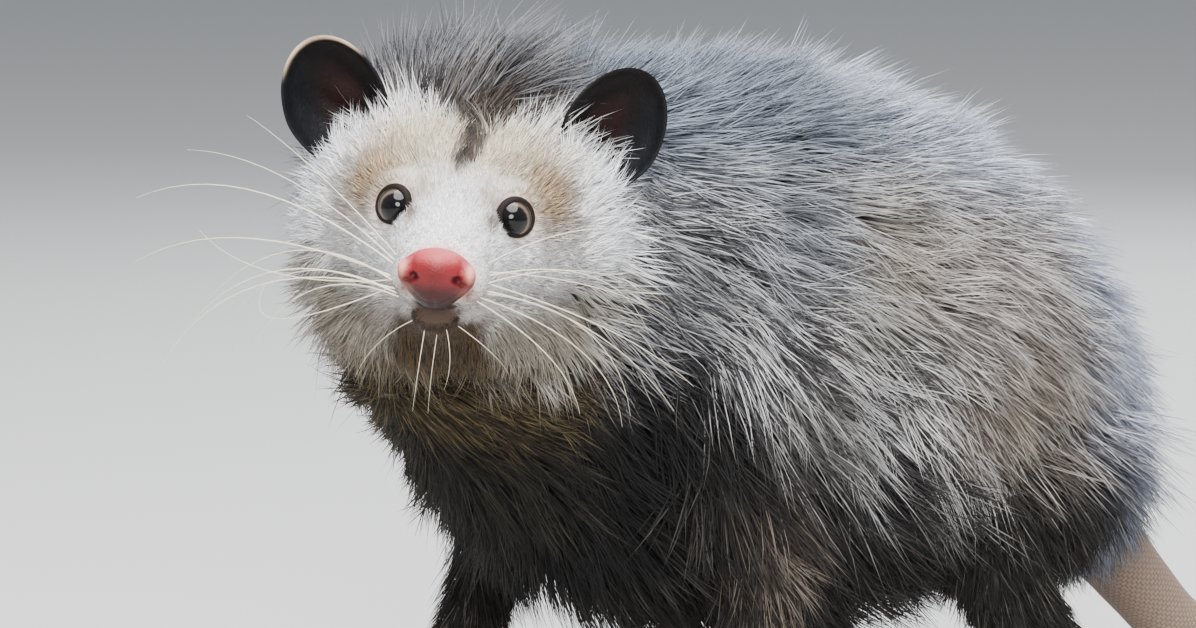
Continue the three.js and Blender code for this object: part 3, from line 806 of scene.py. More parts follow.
# the tail is darker in the gaps between its scales
gaps = skin_paint.add("ShaderNodeMath", {0: rows, 1: scaly}, operation="MULTIPLY").outputs["Value"]
gap_darkening = skin_paint.spread(gaps, 1.0, 0.55)
darker_in_gaps = skin_paint.add("ShaderNodeVectorMath", {0: colour, 1: gap_darkening}, operation="MULTIPLY")
pores = skin_paint.add("ShaderNodeTexVoronoi", {"Vector": where, "Scale": 900.0}).outputs["Distance"]
relief = skin_paint.add("ShaderNodeMath", {0: pores, 1: gaps}, operation="SUBTRACT").outputs["Value"]
skin_paint.feed("Base Color", darker_in_gaps.outputs["Vector"])
skin_paint.feed("Specular IOR Level", 0.3)
skin_paint.feed("Roughness", skin_paint.spread(grain, 0.5, 0.75))
skin_paint.emboss(relief, 0.5, 0.0004)
skin.data.materials.clear()
skin.data.materials.append(skin_paint.material)
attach(skin, "root")
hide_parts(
    "head", "lower_jaw", "neck", "chest", "belly", "rump",
    "upper_arm_left", "upper_arm_right", "forearm_left", "forearm_right",
    "thigh_left", "thigh_right", "shank_left", "shank_right",
    "forefoot_left", "forefoot_right", "hindfoot_left", "hindfoot_right",
    "tail_root", "tail_upper", "tail_middle", "tail_lower", "tail_tip",
)

# The coat. Every tuft is a closed spike that starts from a point in the skin, swells and tapers to
# a tip. Neighbouring tips are drawn together into locks, and shorter under hair shows between them.

STEPS_LONG = (0.30, 0.68)  # where a long tuft has its rings of three points, as shares of its length
STEPS_SHORT = (0.42,)
LONG_FROM = 13.0
SHORTEST = 1.5  # no tufts where the coat would be shorter
UNDER_SHARE = 0.48  # how many tufts of a rough coat are under hair
UNDER_REACH = 0.70
GUARD_REACH = 1.12
LEAN_LIMITS = (math.radians(8), math.radians(60))
TUFT_PATCH = 0.003  # each tuft's own square of the map
PIECE_TRIANGLES = 185000
rng = np.random.default_rng(11)

keep_off = np.ones(count)
for side in ("left", "right"):
    far, ahead, away = from_eye(head, side)
    ring = smooth_step(6.4, 7.4, np.linalg.norm(away, axis=1))
    keep_off *= np.where((ahead > -3) & (far < 14), ring, 1)
keep_off *= smooth_step(47.5, 45.5, to_nose)
mouth_z = by_table(to_nose, [(46, -24.6), (30, -24.5), (14, -26), (4, -28)])
at_mouth = np.exp(-(((head_up - mouth_z) / 1.0) ** 2)) * smooth_step(4, 10, to_nose)
keep_off *= 1 - at_mouth * on["head"]
keep_off *= 1 - smooth_step(0.3, 0.8, on["paw"]) * smooth_step(11, 7, up)
keep_off *= 1 - smooth_step(0.3, 0.8, on["paw"]) * (flow_outward[:, 2] < 0.1)
keep_off *= 1 - smooth_step(0.3, 0.9, on["tail"]) * smooth_step(30, 70, tail_from_root)
covered = np.where(length > SHORTEST, layers / (np.maximum(length, SHORTEST) * width), 0) * keep_off


def strewn(density):
    """Roots over the skin: each one's triangle and its shares of the three corners."""
    weight = areas * density[corners].mean(1)
    chosen = rng.choice(len(corners), int(weight.sum()), p=weight / weight.sum())
    a, b = rng.random((2, len(chosen)))
    over = a + b > 1
    a[over], b[over] = 1 - a[over], 1 - b[over]
    return chosen, np.stack([1 - a - b, a, b], 1)


def at_roots(field, roots):
    """A field of the skin, read at the roots."""
    chosen, share = roots
    values = field[corners[chosen]]
    return (values * (share if values.ndim == 2 else share[..., None])).sum(1)


def nearest_lock(spots, centres):
    """The number of the lock that each spot is nearest to."""
    near = KDTree(len(centres))
    for i, centre in enumerate(centres):
        near.insert(centre, i)
    near.balance()
    return np.array([near.find(spot)[1] for spot in spots])


roots = strewn(covered)
number = len(roots[0])
rough_coat = smooth_step(9, 20, at_roots(length, roots))
is_under = rng.random(number) < UNDER_SHARE * rough_coat
root_at = at_roots(places, roots)
root_out = unit(at_roots(outward, roots))
root_lie = at_roots(lie, roots)
root_lie = unit(root_lie - root_out * (root_lie * root_out).sum(1)[:, None])
root_across = np.cross(root_out, root_lie)
root_length = at_roots(length, roots)
root_lean = np.radians(at_roots(lean, roots))
root_width = at_roots(width, roots)
root_pale = at_roots(pale, roots)
root_dark = at_roots(dark, roots)
root_fair = at_roots(fair, roots)
root_flesh = at_roots(flesh_tone, roots)
shagginess = smooth_step(3, 26, root_length)

lock_gap = 1.5 + 0.12 * length
locks = at_roots(places, strewn(np.where(length > SHORTEST, 1 / lock_gap**2, 0)))
in_lock = nearest_lock(root_at, locks)
big_gap = 4 + 0.27 * length
big_locks = at_roots(places, strewn(np.where(length > SHORTEST, 1 / big_gap**2, 0)))
in_big_lock = nearest_lock(root_at, big_locks)


def per_lock(spread, spread_big):
    """A chance value that all tufts of a lock share, and all of its bigger lock."""
    small = rng.normal(0, spread, len(locks))[in_lock]
    return small + rng.normal(0, spread_big, len(big_locks))[in_big_lock]


turn = np.radians(per_lock(10, 9) * (0.5 + 0.8 * shagginess) + rng.normal(0, 5, number))
root_dir = root_lie * np.cos(turn)[:, None] + root_across * np.sin(turn)[:, None]
root_lean = root_lean + np.radians(per_lock(4, 4) * shagginess + rng.normal(0, 4, number))
is_fair = rng.random(number) < root_fair + per_lock(0.10, 0.12) * shagginess - 0.12 * is_under * rough_coat
is_guard = is_fair & ~is_under & (rng.random(number) < 0.05 * shagginess)
reach = root_length * (1 + per_lock(0.08, 0.06) * shagginess + rng.normal(0, 0.07, number))
reach *= np.where(is_under, UNDER_REACH, 1.0) * np.where(is_fair, 1.0, 1 - 0.10 * shagginess)
reach *= np.where(is_guard, GUARD_REACH, 1.0)
root_lean += np.where(is_guard, math.radians(3), 0)
root_lean = np.clip(root_lean, *LEAN_LIMITS)
breadth = root_width * rng.uniform(0.75, 1.25, number) * np.where(is_guard, 0.6, 1.0)
breadth *= np.where(is_under, 1.2, 1 - 0.28 * rough_coat)
pull = np.where(is_guard, 0.15, 0.62) * (0.35 + 0.65 * shagginess)
bend = rng.normal(0, 0.07, number) + per_lock(0.07, 0.05)
fall = 0.35 + 0.35 * (1 - shagginess)
light = 1 + per_lock(0.05, 0.05) * (0.4 + 0.6 * shagginess) + rng.normal(0, 0.05, number)

near_tip = np.where(is_fair[:, None], root_pale, root_dark) * light[:, None]
near_root = mixed(root_flesh, near_tip, np.full(number, 0.45))
half_way = mixed(root_flesh, near_tip, np.where(is_fair, 0.85, 0.8))


def point_at(s, who):
    """Where the tufts' middle lines run at a share s of their length."""
    angle = root_lean[who] * (1 - fall[who] * s)
    scale = root_lean[who] * fall[who]
    along = (np.sin(root_lean[who]) - np.sin(angle)) / scale
    rise = (np.cos(angle) - np.cos(root_lean[who])) / scale
    points = root_at[who] - root_out[who] * 0.5
    points = points + root_dir[who] * (along * reach[who])[:, None]
    points += root_out[who] * (rise * reach[who])[:, None]
    points += root_across[who] * (bend[who] * s * s * reach[who])[:, None]
    toward = locks[in_lock[who]] - root_at[who]
    toward -= root_out[who] * (toward * root_out[who]).sum(1)[:, None]
    return points + toward * (pull[who] * s**1.4)[:, None]


def spikes(who, steps, uv):
    """The tufts' points, triangles, colours and map places, all tufts of one kind."""
    at = [point_at(s, who) for s in (0.0, *steps, 1.0)]
    n = len(at[0])
    points = [at[0]]
    colours = [near_root[who]]
    patches = [uv + np.array((0.5, 0.0)) * TUFT_PATCH]
    twist = rng.uniform(-0.5, 0.5, n)
    for k, s in enumerate(steps, 1):
        ahead = unit(at[k + 1] - at[k - 1])
        side = unit(np.cross(root_out[who], ahead))
        top = np.cross(ahead, side)
        size = breadth[who] * (1.0 if k == 1 else 0.74)
        for j, angle in enumerate((0.5, 7 / 6, 11 / 6)):
            turned = twist + angle * math.pi
            points.append(
                at[k]
                + side * (np.cos(turned) * size * 0.5)[:, None]
                + top * (np.sin(turned) * size * 0.28)[:, None]
            )
            colours.append(half_way[who] if k == 1 else near_tip[who])
            patches.append(uv + np.array(((0.5, 0.0, 1.0)[j], s)) * TUFT_PATCH)
    points.append(at[-1])
    colours.append(near_tip[who])
    patches.append(uv + np.array((0.5, 1.0)) * TUFT_PATCH)
    faces = []
    for j in range(3):
        k = (j + 1) % 3
        faces.append((0, 1 + k, 1 + j))
        for ring in range(1, len(steps)):
            low, high = 1 + 3 * (ring - 1), 1 + 3 * ring
            faces += [(low + j, low + k, high + k), (low + j, high + k, high + j)]
        last = 1 + 3 * (len(steps) - 1)
        faces.append((last + j, last + k, last + 3))
    each = len(points)
    faces = (np.array(faces)[None] + np.arange(n)[:, None, None] * each).reshape(-1, 3)
    stacked = [np.stack(rows, 1).reshape(-1, rows[0].shape[1]) for rows in (points, colours, patches)]
    return stacked[0], faces, stacked[1], stacked[2]


def mesh_piece(name, points, faces):
    """A piece from points in metres and triangles."""
    mesh = bpy.data.meshes.new(name)
    mesh.vertices.add(len(points))
    mesh.vertices.foreach_set("co", np.asarray(points, np.float32).ravel())
    mesh.loops.add(len(faces) * 3)
    mesh.loops.foreach_set("vertex_index", np.asarray(faces, np.int32).ravel())
    mesh.polygons.add(len(faces))
    mesh.polygons.foreach_set("loop_start", np.arange(0, len(faces) * 3, 3, dtype=np.int32))
    mesh.polygons.foreach_set("use_smooth", np.ones(len(faces), bool))
    mesh.update(calc_edges=True)
    piece = bpy.data.objects.new(name, mesh)
    bpy.context.collection.objects.link(piece)
    return piece


fur_paints = {}
for fur_name, dullness in (("body_fur", 0.72), ("face_fur", 0.80), ("leg_fur", 0.66)):
    fur = Paint(fur_name)
    colour, grain, where = mottled(fur, fur.carried("markings_and_painted_light"), 900, 0.86, 1.14)
    fur.feed("Base Color", colour)
    fur.feed("Roughness", fur.spread(grain, dullness - 0.08, dullness + 0.1))
    fur.emboss(grain, 0.35, 0.0002)
    fur.feed("Specular IOR Level", 0.25)
    fur.feed("Sheen Weight", 0.02)
    fur_paints[fur_name] = fur.material

# where each tuft lies on the map: how far round its part and how far along it
SKULL_MIDDLE = -16
root_region = region[corners[roots[0], 0]]
trunk_middle = by_table(root_at[:, 0], [(s[0], s[2]) for s in TRUNK])
axis_angle = np.arctan2(root_at[:, 1], -(root_at[:, 2] - trunk_middle))
axis_along = root_at[:, 0].copy()
root_head = head_of(root_at)
for i, name in enumerate(REGIONS):
    mine = root_region == i
    if name == "head":
        axis_angle[mine] = np.arctan2(root_head[:, 1], -(root_head[:, 2] - SKULL_MIDDLE))[mine]
        axis_along[mine] = root_head[mine, 0]
    elif name == "paw":
        axis_angle[mine] = root_at[mine, 1]
    elif "leg" in name:
        line = next(points for part, points, _, _ in clues if part == name)
        middle = np.array([line[np.abs(line[:, 2] - z) < 8].mean(0)[:2] for z in root_at[mine, 2]])
        axis_angle[mine] = np.arctan2(root_at[mine, 1] - middle[:, 1], root_at[mine, 0] - middle[:, 0])
        axis_along[mine] = root_at[mine, 2]

COAT_PIECES = {
    "trunk": ("coat_trunk", "body_fur"),
    "head": ("coat_head", "face_fur"),
    "foreleg_left": ("coat_foreleg_left", "leg_fur"),
    "foreleg_right": ("coat_foreleg_right", "leg_fur"),
    "hind_leg_left": ("coat_hind_leg_left", "leg_fur"),
    "hind_leg_right": ("coat_hind_leg_right", "leg_fur"),
    "tail": ("coat_tail_root", "body_fur"),
    "paw": ("coat_paws", "leg_fur"),
}
is_long = (reach > LONG_FROM) & ~is_under & (root_region != REGIONS.index("paw"))
cost = np.where(is_long, 12, 6)
for i, region_name in enumerate(REGIONS):
    mine = np.flatnonzero(root_region == i)
    if not len(mine):
        continue
    label, fur_name = COAT_PIECES[region_name]
    mine = mine[np.argsort(axis_along[mine])]
    bands = math.ceil(cost[mine].sum() / PIECE_TRIANGLES)
    band_of = np.minimum((np.cumsum(cost[mine]) - 1) * bands // cost[mine].sum(), bands - 1)
    for band in range(bands):
        chosen = mine[band_of == band]
        flat = np.stack([axis_angle[chosen], axis_along[chosen]], 1)
        flat = (flat - flat.min(0)) / np.ptp(flat, 0) * (1 - TUFT_PATCH)
        long_ones = is_long[chosen]
        long_part = spikes(chosen[long_ones], STEPS_LONG, flat[long_ones])
        short_part = spikes(chosen[~long_ones], STEPS_SHORT, flat[~long_ones])
        short_part[1][:] += len(long_part[0])
        points, faces, colours, patches = (np.vstack(both) for both in zip(long_part, short_part))
        piece = mesh_piece(f"{label}_{band + 1}" if bands > 1 else label, place(points), faces)
        give(piece, "markings_and_painted_light", "FLOAT_COLOR", np.clip(colours, 0, 1))
        uv = patches[faces.ravel()].astype(np.float32)
        piece.data.uv_layers.new(name="OFBake").uv.foreach_set("vector", uv.ravel())
        piece.data.materials.append(fur_paints[fur_name])
        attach(piece, "root")

# The eyes: wet dark balls whose pale brown rims show at the outer sides, each in a ring of smooth
# black lid. The balls sit in the skull, and the rings close the coat's edge on to them.

PUPIL = (0.006, 0.005, 0.005, 1)
IRIS_RINGS = [
    # share of the way out, colour
    (0.62, PUPIL),
    (0.67, (0.04, 0.027, 0.018, 1)),
    (0.73, (0.125, 0.092, 0.064, 1)),
    (0.82, (0.095, 0.07, 0.05, 1)),
    (0.90, (0.02, 0.014, 0.011, 1)),
]
IRIS_REACH = 0.0075  # metres from the pupil's middle
EYE_GAZE = {"left": unit((0.98, 0.18, 0.05)), "right": unit((0.98, -0.14, 0.05))}
LID_RADIUS = 5.75
LID_THICK = 0.9
LID_FORWARD = 3.55
for side, outer in (("left", 1), ("right", -1)):
    bpy.ops.object.select_all(action="DESELECT")
    bpy.ops.mesh.primitive_uv_sphere_add(segments=64, ring_count=48, radius=EYE_RADIUS)
    eye = bpy.context.object
    eye.name = f"eyeball_{side}"
    gaze = EYE_GAZE[side]
    ball = places_of(eye)
    swell = 0.5 * smooth_step(0.72, 1.0, unit(ball) @ gaze)
    set_places(eye, place(from_head(EYE_AT[side] + ball + gaze * swell[:, None])))
    bpy.ops.object.shade_smooth()

    wet = Paint(f"wet_eye_{side}")
    where = wet.add("ShaderNodeTexCoord").outputs["Object"]
    pupil_at = place(from_head(EYE_AT[side] + gaze * (EYE_RADIUS + 0.4)))
    from_pupil = wet.add("ShaderNodeVectorMath", {0: where, 1: tuple(pupil_at)}, operation="DISTANCE")
    rays = wet.add("ShaderNodeTexNoise", {"Vector": where, "Scale": 1400.0, "Detail": 2.0}).outputs["Fac"]
    ragged = wet.spread(rays, -0.0004, 0.0004)
    reached = wet.add("ShaderNodeMath", {0: from_pupil.outputs["Value"], 1: ragged}, operation="ADD")
    share = wet.add("ShaderNodeMapRange", {"Value": reached.outputs["Value"], "From Max": IRIS_REACH})
    ramp = wet.add("ShaderNodeValToRGB", {"Fac": share.outputs["Result"]})
    stops = ramp.color_ramp.elements
    stops[0].color = (0.002, 0.002, 0.003, 1)
    stops[1].position, stops[1].color = IRIS_RINGS[0]
    for position, colour in IRIS_RINGS[1:]:
        stops.new(position).color = colour
    wet.feed("Base Color", ramp.outputs["Color"])
    wet.feed("Roughness", wet.spread(rays, 0.05, 0.09))
    wet.feed("IOR", 1.36)
    eye.data.materials.append(wet.material)
    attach(eye, "root")
    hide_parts(f"eye_{side}")

    bpy.ops.object.select_all(action="DESELECT")
    bpy.ops.mesh.primitive_torus_add(
        major_segments=72, minor_segments=18, major_radius=LID_RADIUS, minor_radius=1.0
    )
    lid = bpy.context.object
    lid.name = f"eyelid_{side}"
    ring = places_of(lid)
    axis = EYE_SLIT[side]
    lid_side = unit(np.cross((0, 0, 1), axis))
    lid_top = np.cross(axis, lid_side)
    round_angle = np.arctan2(ring[:, 1], ring[:, 0])
    spoke = np.stack([np.cos(round_angle), np.sin(round_angle)], 1)
    tube = np.hypot(ring[:, 0], ring[:, 1]) - LID_RADIUS
    corner_at = math.pi * (outer > 0) + 0.35 * outer
    inner_corner = np.exp(-((np.angle(np.exp(1j * (round_angle - corner_at)))) / 0.5) ** 2)
    corner_pull = 1 + 0.10 * inner_corner
    thick = LID_THICK * (1 + 0.25 * np.sin(round_angle) + 0.35 * inner_corner)
    flat_x = spoke[:, 0] * (LID_RADIUS * 1.02 * corner_pull + tube * thick * 1.15)
    flat_y = spoke[:, 1] * (LID_RADIUS * 0.94 + tube * thick * 1.15)
    back = -0.42 * np.clip(tube, 0, 1) * thick
    deep = LID_FORWARD + ring[:, 2] * thick + back - 0.35 * spoke[:, 0] ** 2
    points = EYE_AT[side] + lid_side * flat_x[:, None] + lid_top * flat_y[:, None]
    points = points + axis * deep[:, None]
    set_places(lid, place(from_head(points)))
    bpy.ops.object.shade_smooth()
    rim = Paint(f"lid_skin_{side}")
    where = rim.add("ShaderNodeTexCoord").outputs["Object"]
    creases = rim.add("ShaderNodeTexNoise", {"Vector": where, "Scale": 1800.0, "Detail": 3.0}).outputs["Fac"]
    shade = rim.add("ShaderNodeValToRGB", {"Fac": creases})
    shade.color_ramp.elements[0].color = (0.006, 0.004, 0.004, 1)
    shade.color_ramp.elements[1].color = (0.022, 0.015, 0.013, 1)
    rim.feed("Base Color", shade.outputs["Color"])
    rim.feed("Specular IOR Level", 0.08)
    rim.feed("Roughness", rim.spread(creases, 0.5, 0.7))
    rim.emboss(creases, 0.4, 0.0003)
    lid.data.materials.append(rim.material)
    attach(lid, "root")

# The nose: a moist pink pad with a round top, a nostril to each side under a wing that carries a
# painted wet highlight, and a groove down to the lip. It is bare, pebbled skin, paler at the top and
# darker below, partly its own pinks and partly painted light from above and painted shade beneath.

NOSE = [
    (45, 0, -15.0, 9.8, 8.0, 9.0),
    (49, 0, -14.6, 11.0, 8.8, 9.6),
    (52.5, 0, -14.2, 10.6, 8.4, 9.2),
    (55.0, 0, -13.8, 8.6, 7.0, 7.6),
]
nose = moulded("nose_pad", NOSE, (3, 3.2), around=112, rings=96, square=0.95, in_head=True)
pad = head_of(body_of(places_of(nose)))
front = smooth_step(46, 51, pad[:, 0])
pad[:, 0] -= 2.2 * front * smooth_step(-12, -20, pad[:, 2])
ball_top = patch(pad, (54, 0, -10.5), (12, 9.5, 8))
pad += np.array((1, 0, 0.3)) * (2.6 * ball_top)[:, None]
for flank in (1, -1):
    wing = patch(pad, (52, flank * 9.4, -12.5), (7, 3.6, 6))
    pad += np.array((0.7, flank * 0.9, 0.1)) * (1.5 * wing)[:, None]
    valley = patch(pad, (54, flank * 7.2, -11.5), (9, 1.8, 6.5))
    pad[:, 0] -= 1.1 * valley * front
    dent = patch(pad, (55, flank * 6.2, -13.6), (8, 2.1, 1.9))
    slit = patch(pad, (54, flank * 8.0, -15.0), (8, 2.2, 1.2))
    pad += np.array((-0.95, -flank * 0.15, 0.05)) * (2.8 * np.maximum(dent, 0.6 * slit) * front)[:, None]
groove = np.exp(-((pad[:, 1] / 0.9) ** 2)) * smooth_step(-14.5, -18, pad[:, 2]) * front
pad[:, 0] -= 0.7 * groove
lower = smooth_step(-15, -23, pad[:, 2])
pad[:, 1] *= 1 - 0.25 * lower
set_places(nose, place(from_head(pad)))
bpy.ops.object.shade_smooth()
pink = np.tile(tone(128, 32, 36), (len(pad), 1))


def nose_colour_and_light(mask, colour):
    """Lays a colour over the pad's pink: its own colours, painted highlights and painted shade."""
    pink[:] = mixed(pink, tone(*colour), np.clip(mask, 0, 1))


# paler pink towards the top: partly the pad's own colour, partly painted light from above
nose_colour_and_light(smooth_step(-10.5, -5.5, pad[:, 2]), (190, 78, 83))
nose_colour_and_light(1.2 * patch(pad, (56, 0, -12.0), (10, 7.5, 4.5)), (96, 15, 20))
# darker red towards the bottom: partly the pad's own colour, partly painted shade
nose_colour_and_light(smooth_step(-11.5, -19.0, pad[:, 2]), (50, 13, 13))
# each side: a painted wet highlight along the nostril wing, the wing's browner surround, the nostril and its
# slit
for flank in (1, -1):
    nose_colour_and_light(1.3 * patch(pad, (52.5, flank * 10.2, -11.5), (8, 2.4, 4.4)), (226, 148, 132))
    nose_colour_and_light(0.9 * patch(pad, (51, flank * 9.0, -17.5), (8, 5, 3.6)), (124, 68, 56))
    nose_colour_and_light(1.5 * patch(pad, (54, flank * 6.2, -13.6), (9, 2.5, 2.3)), (66, 9, 15))
    nose_colour_and_light(1.1 * patch(pad, (53, flank * 8.2, -15.1), (8, 2.4, 1.5)), (80, 18, 20))
nose_colour_and_light(0.7 * groove, (62, 18, 17))
# darkest at the pad's bottom: partly its own colour, partly painted shade
nose_colour_and_light(smooth_step(-19.5, -22.5, pad[:, 2]), (34, 14, 10))
nose_colour_and_light(0.8 * smooth_step(49, 46.5, pad[:, 0]) * smooth_step(-15, -10, pad[:, 2]), (206, 142, 130))
give(nose, "nose_colour_and_light", "FLOAT_COLOR", pink)
moist = Paint("nose_skin")
colour, grain, where = mottled(moist, moist.carried("nose_colour_and_light"), 700, 0.86, 1.12)
moist.feed("Base Color", colour)
pebbles = moist.add("ShaderNodeTexVoronoi", {"Vector": where, "Scale": 1500.0, "Randomness": 0.9})
moist.emboss(pebbles.outputs["Distance"], 0.45, 0.0003)
moist.feed("Roughness", moist.spread(grain, 0.40, 0.58))
moist.feed("Specular IOR Level", 0.3)
moist.feed("Subsurface Weight", 0.05)
moist.feed("Subsurface Radius", (0.002, 0.0008, 0.0005))
nose.data.materials.append(moist.material)
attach(nose, "root")
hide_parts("nose")

# The ears: thin bare leather cups, brown-black with a redder hollow, soft folds and a rolled rim.
# The right one's upper rim is cream. Their bases are set in the crown's fur.

EAR_TALL = 46
EAR_WIDE = 34
EAR_CUP = 10
EAR_LEAN = 24  # degrees outward from upright
EAR_FACES = {"left": 22, "right": -8}  # degrees from the nose's direction, to the animal's left


def face_outward(piece):
    """Turns every face of a closed piece outward."""
    picked(piece)
    bpy.ops.object.mode_set(mode="EDIT")
    bpy.ops.mesh.select_all(action="SELECT")
    bpy.ops.mesh.normals_make_consistent(inside=False)
    bpy.ops.object.mode_set(mode="OBJECT")


for side, outer in (("left", 1), ("right", -1)):
    bpy.ops.object.select_all(action="DESELECT")
    bpy.ops.mesh.primitive_uv_sphere_add(segments=96, ring_count=64, radius=1)
    ear = bpy.context.object
    ear.name = f"ear_leather_{side}"
    leaf = places_of(ear)[:, [1, 2, 0]]
    u, v, facing = leaf.T
    radius = np.hypot(u, v)
    open_part = 1 - radius**2
    narrow = 1 - 0.34 * np.clip(-v, 0, 1) ** 1.6
    rim_roll = np.exp(-(((radius - 0.95) / 0.05) ** 2))
    thick = 0.65 + 0.55 * rim_roll + 0.5 * smooth_step(-0.3, -0.9, v)
    folds = 1.5 * np.sin(u * 8 + v * 3 + 1.2 * np.sin(v * 5))
    folds = folds * smooth_step(0.95, 0.5, radius) * smooth_step(0.6, -0.4, v)
    folds += 0.8 * np.sin(v * 6 - outer * u * 7 + 0.8) * smooth_step(0.98, 0.6, radius)
    x = -EAR_CUP * open_part + facing * thick + folds * 0.55 + 1.6 * rim_roll * np.abs(u)
    y = u * narrow * EAR_WIDE / 2
    z = v * EAR_TALL / 2 + 0.6
    points = np.stack([x, y, z], 1)
    turn_ear = axis_turn(2, math.radians(EAR_FACES[side])) @ axis_turn(1, math.radians(4))
    turn_ear = turn_ear @ axis_turn(0, math.radians(-EAR_LEAN * outer))
    points = points @ turn_ear.T + np.array(EAR_AT) * (1, outer, 1)
    set_places(ear, place(from_head(points)))
    face_outward(ear)
    bpy.ops.object.shade_smooth()
    leather = np.tile(tone(13, 10, 10), (len(u), 1))
    hollow = smooth_step(0.75, 0.2, np.hypot(u * 1.1, v * 0.9 + 0.05)) * (facing > 0)
    leather = mixed(leather, tone(30, 11, 10), hollow * 0.9)
    # a painted blue-grey sheen towards each ear's outer edge
    leather = mixed(leather, tone(17, 19, 24), smooth_step(0.1, 0.8, outer * u) * 0.7)
    if side == "right":
        cream = smooth_step(0.92, 0.985, radius) * smooth_step(0.5, 0.85, v)
        leather = mixed(leather, tone(200, 176, 150), cream)
    give(ear, "leather", "FLOAT_COLOR", leather)
    hide = Paint(f"ear_leather_{side}")
    colour, grain, where = mottled(hide, hide.carried("leather"), 160, 0.6, 1.5, detail=5)
    veining = {"Vector": where, "Scale": 520.0, "Detail": 5.0, "Distortion": 1.2}
    veins = hide.add("ShaderNodeTexNoise", veining).outputs["Fac"]
    hide.feed("Base Color", colour)
    hide.feed("Roughness", hide.spread(veins, 0.40, 0.66))
    hide.emboss(veins, 0.5, 0.0006)
    hide.feed("Sheen Weight", 0.02)
    hide.feed("Specular IOR Level", 0.12)
    ear.data.materials.append(hide.material)
    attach(ear, "root")
    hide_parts(f"ear_{side}")

# The claws: curved, pale horn, one at the end of each digit but the hind feet's thumbs.

CLAW = [
    # how far past the digit's end, height, half thickness
    (-1.5, 3.6, 1.25),
    (1.2, 4.2, 1.3),
    (3.6, 3.8, 1.0),
    (5.4, 2.6, 0.65),
    (6.6, 1.3, 0.35),
]
claws = []
for i, ((x, y), (dx, dy), reach_out) in enumerate(clawed_digits):
    size = math.hypot(dx, dy)
    line = [
        (x + dx / size * (reach_out + s), y + dy / size * (reach_out + s), up_at, r * 0.8, r, r)
        for s, up_at, r in CLAW
    ]
    claws.append(moulded(f"claw_{i}", line, (0.8, 0.5), around=14, rings=20))
claws = joined(claws, "claws")
bpy.ops.object.shade_smooth()
horn = Paint("claw_horn")
where = horn.add("ShaderNodeTexCoord").outputs["Object"]
streaks = horn.add("ShaderNodeTexNoise", {"Vector": where, "Scale": 600.0, "Detail": 4.0}).outputs["Fac"]
shade = horn.add("ShaderNodeValToRGB", {"Fac": streaks})
shade.color_ramp.elements[0].color = (0.34, 0.26, 0.19, 1)
shade.color_ramp.elements[1].color = (0.66, 0.57, 0.46, 1)
horn.feed("Base Color", shade.outputs["Color"])
horn.feed("Roughness", horn.spread(streaks, 0.25, 0.45))
horn.emboss(streaks, 0.3, 0.0002)
claws.data.materials.append(horn.material)
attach(claws, "root")

# The whiskers: long cream bristles that fan out and back from the muzzle's pads and chin, and a few
# fine dark hairs over the brows. Each is a thin tapered rod set in the skin.

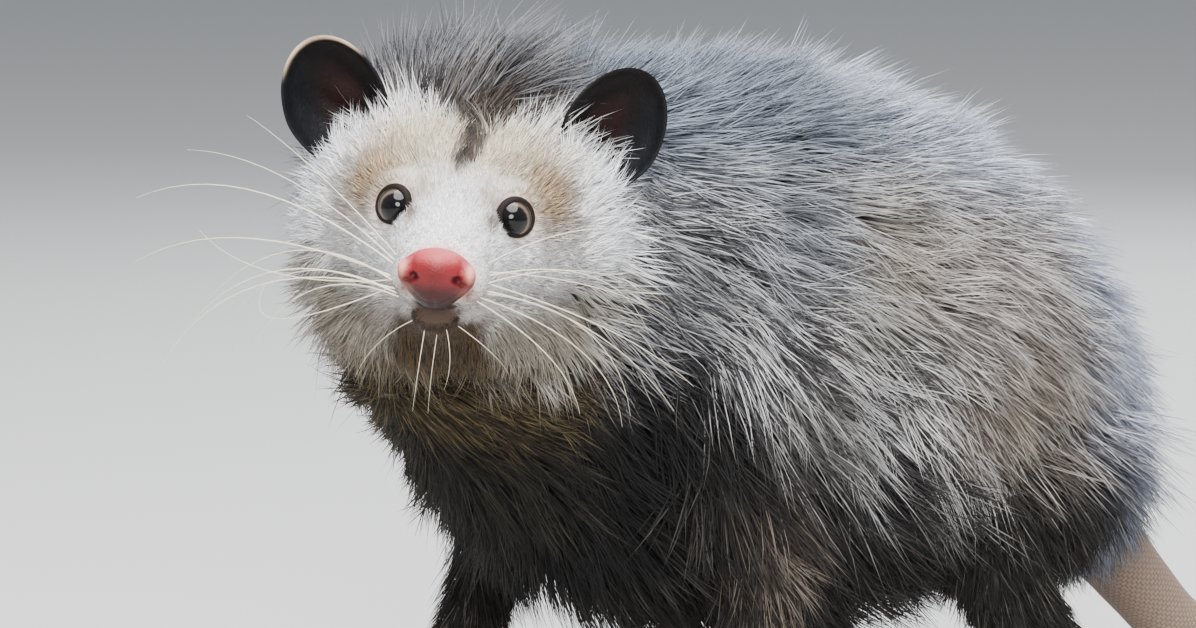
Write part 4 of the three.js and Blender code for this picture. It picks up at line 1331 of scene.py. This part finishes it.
WHISKERS = [
    # root, tip, bend at the middle, thickness; all in head millimetres
    ((34, -13.0, -15), (-14, -99, -10), (0, -4, 12), 0.30),
    ((36, -13.5, -18), (-8, -97, -29), (0, -6, 9), 0.30),
    ((32, -13.5, -14), (-25, -86, 5), (0, -2, 8), 0.24),
    ((38, -13.0, -21), (6, -85, -59), (0, -8, 12), 0.30),
    ((35, -14.0, -19), (0, -77, -16), (0, -6, -6), 0.24),
    ((34, -13.5, -21), (-5, -56, -31), (0, -14, -12), 0.22),
    ((30, -13.0, -13), (-30, -69, 17), (0, -2, 4), 0.22),
    ((39, -12.5, -22), (8, -78, -46), (0, -5, 12), 0.28),
    ((40, -11.5, -23), (12, -57, -49), (0, -4, 10), 0.26),
    ((38, -13.0, -19), (5, -72, -36), (0, -3, 12), 0.28),
    ((36, -14.0, -22), (2, -64, -40), (0, -4, 9), 0.24),
    ((34, 13.5, -17), (-10, 78, -49), (0, 6, 2), 0.28),
    ((36, 13.5, -19), (-3, 73, -56), (0, 4, 6), 0.26),
    ((39, 12.0, -22), (14, 45, -57), (0, 6, 1), 0.26),
    ((33, 14.0, -15), (-10, 62, -33), (0, 6, 9), 0.24),
    ((38, 13.0, -21), (6, 58, -61), (0, 9, 4), 0.23),
    ((32, 13.5, -14), (-20, 72, -33), (0, 5, 4), 0.22),
    ((30, 13.0, -12), (-28, 66, -12), (0, 4, 10), 0.22),
    ((37, 13.5, -17), (-18, 68, -27), (0, 3, 8), 0.20),
    ((35, 14.0, -20), (2, 60, -58), (0, 8, 8), 0.24),
    ((40, -2.5, -29), (24, -5, -60), (4, 0, -2), 0.155),
    ((38, -5.0, -29), (15, -24, -53), (4, -2, 2), 0.16),
    ((40, 3.0, -29), (26, 4, -52), (4, 2, 0), 0.155),
    ((36, 1.0, -31), (14, -1, -62), (5, 0, 0), 0.155),
    ((36, 6.0, -30), (10, 22, -48), (4, 3, 0), 0.16),
    ((-6, -11, 8), (-22, -27, 34), (2, -2, 2), 0.11),
    ((-9, -15, 8), (-24, -42, 30), (2, -3, 2), 0.10),
    ((-6, 11, 8), (-24, 27, 32), (2, 2, 2), 0.11),
    ((-9, 15, 8), (-26, 40, 22), (2, 3, 2), 0.10),
    ((-13, 27, -4), (-34, 56, -2), (2, 3, 2), 0.12),
    ((-13, -27, -4), (-34, -62, 0), (2, -3, 2), 0.12),
]
RINGS = 14
SIDES = 5
BROW_HAIR = 0.15  # thinner ones than this are dark
points, faces = [], []
for root, tip, belly, thick in WHISKERS:
    root, tip, belly = (np.array(v, float) for v in (root, tip, belly))
    s = np.linspace(0, 1, RINGS)[:, None]
    line = root + (tip - root) * s + belly * (4 * s * (1 - s))
    ahead = unit(np.gradient(line, axis=0))
    side = unit(np.cross(ahead, (0.3, 0.1, 1)))
    top = np.cross(ahead, side)
    radius = thick * (1 - 0.82 * s)
    start = len(points)
    points.append(line[0] - ahead[0] * 0.5)
    for ring in range(RINGS):
        for j in range(SIDES):
            angle = 2 * math.pi * j / SIDES
            offset = side[ring] * math.cos(angle) + top[ring] * math.sin(angle)
            points.append(line[ring] + offset * radius[ring])
    points.append(line[-1] + ahead[-1] * 0.5)
    last = len(points) - 1
    for j in range(SIDES):
        k = (j + 1) % SIDES
        faces.append((start, start + 1 + j, start + 1 + k))
        for ring in range(RINGS - 1):
            a, b = start + 1 + ring * SIDES, start + 1 + (ring + 1) * SIDES
            faces += [(a + j, b + k, a + k), (a + j, b + j, b + k)]
        end = start + 1 + (RINGS - 1) * SIDES
        faces.append((end + j, last, end + k))
whiskers = mesh_piece("whiskers", place(from_head(np.array(points))), np.array(faces))
face_outward(whiskers)
hair_tones = [tone(232, 222, 198) if thick > BROW_HAIR else tone(92, 80, 72) for *_, thick in WHISKERS]
bristle_tone = np.repeat(hair_tones, RINGS * SIDES + 2, axis=0)
give(whiskers, "bristle", "FLOAT_COLOR", bristle_tone)
bristle = Paint("whisker_bristle")
colour, grain, where = mottled(bristle, bristle.carried("bristle"), 240, 0.85, 1.12)
bristle.feed("Base Color", colour)
bristle.feed("Roughness", bristle.spread(grain, 0.3, 0.5))
bristle.emboss(grain, 0.2, 0.0002)
whiskers.data.materials.append(bristle.material)
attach(whiskers, "root")
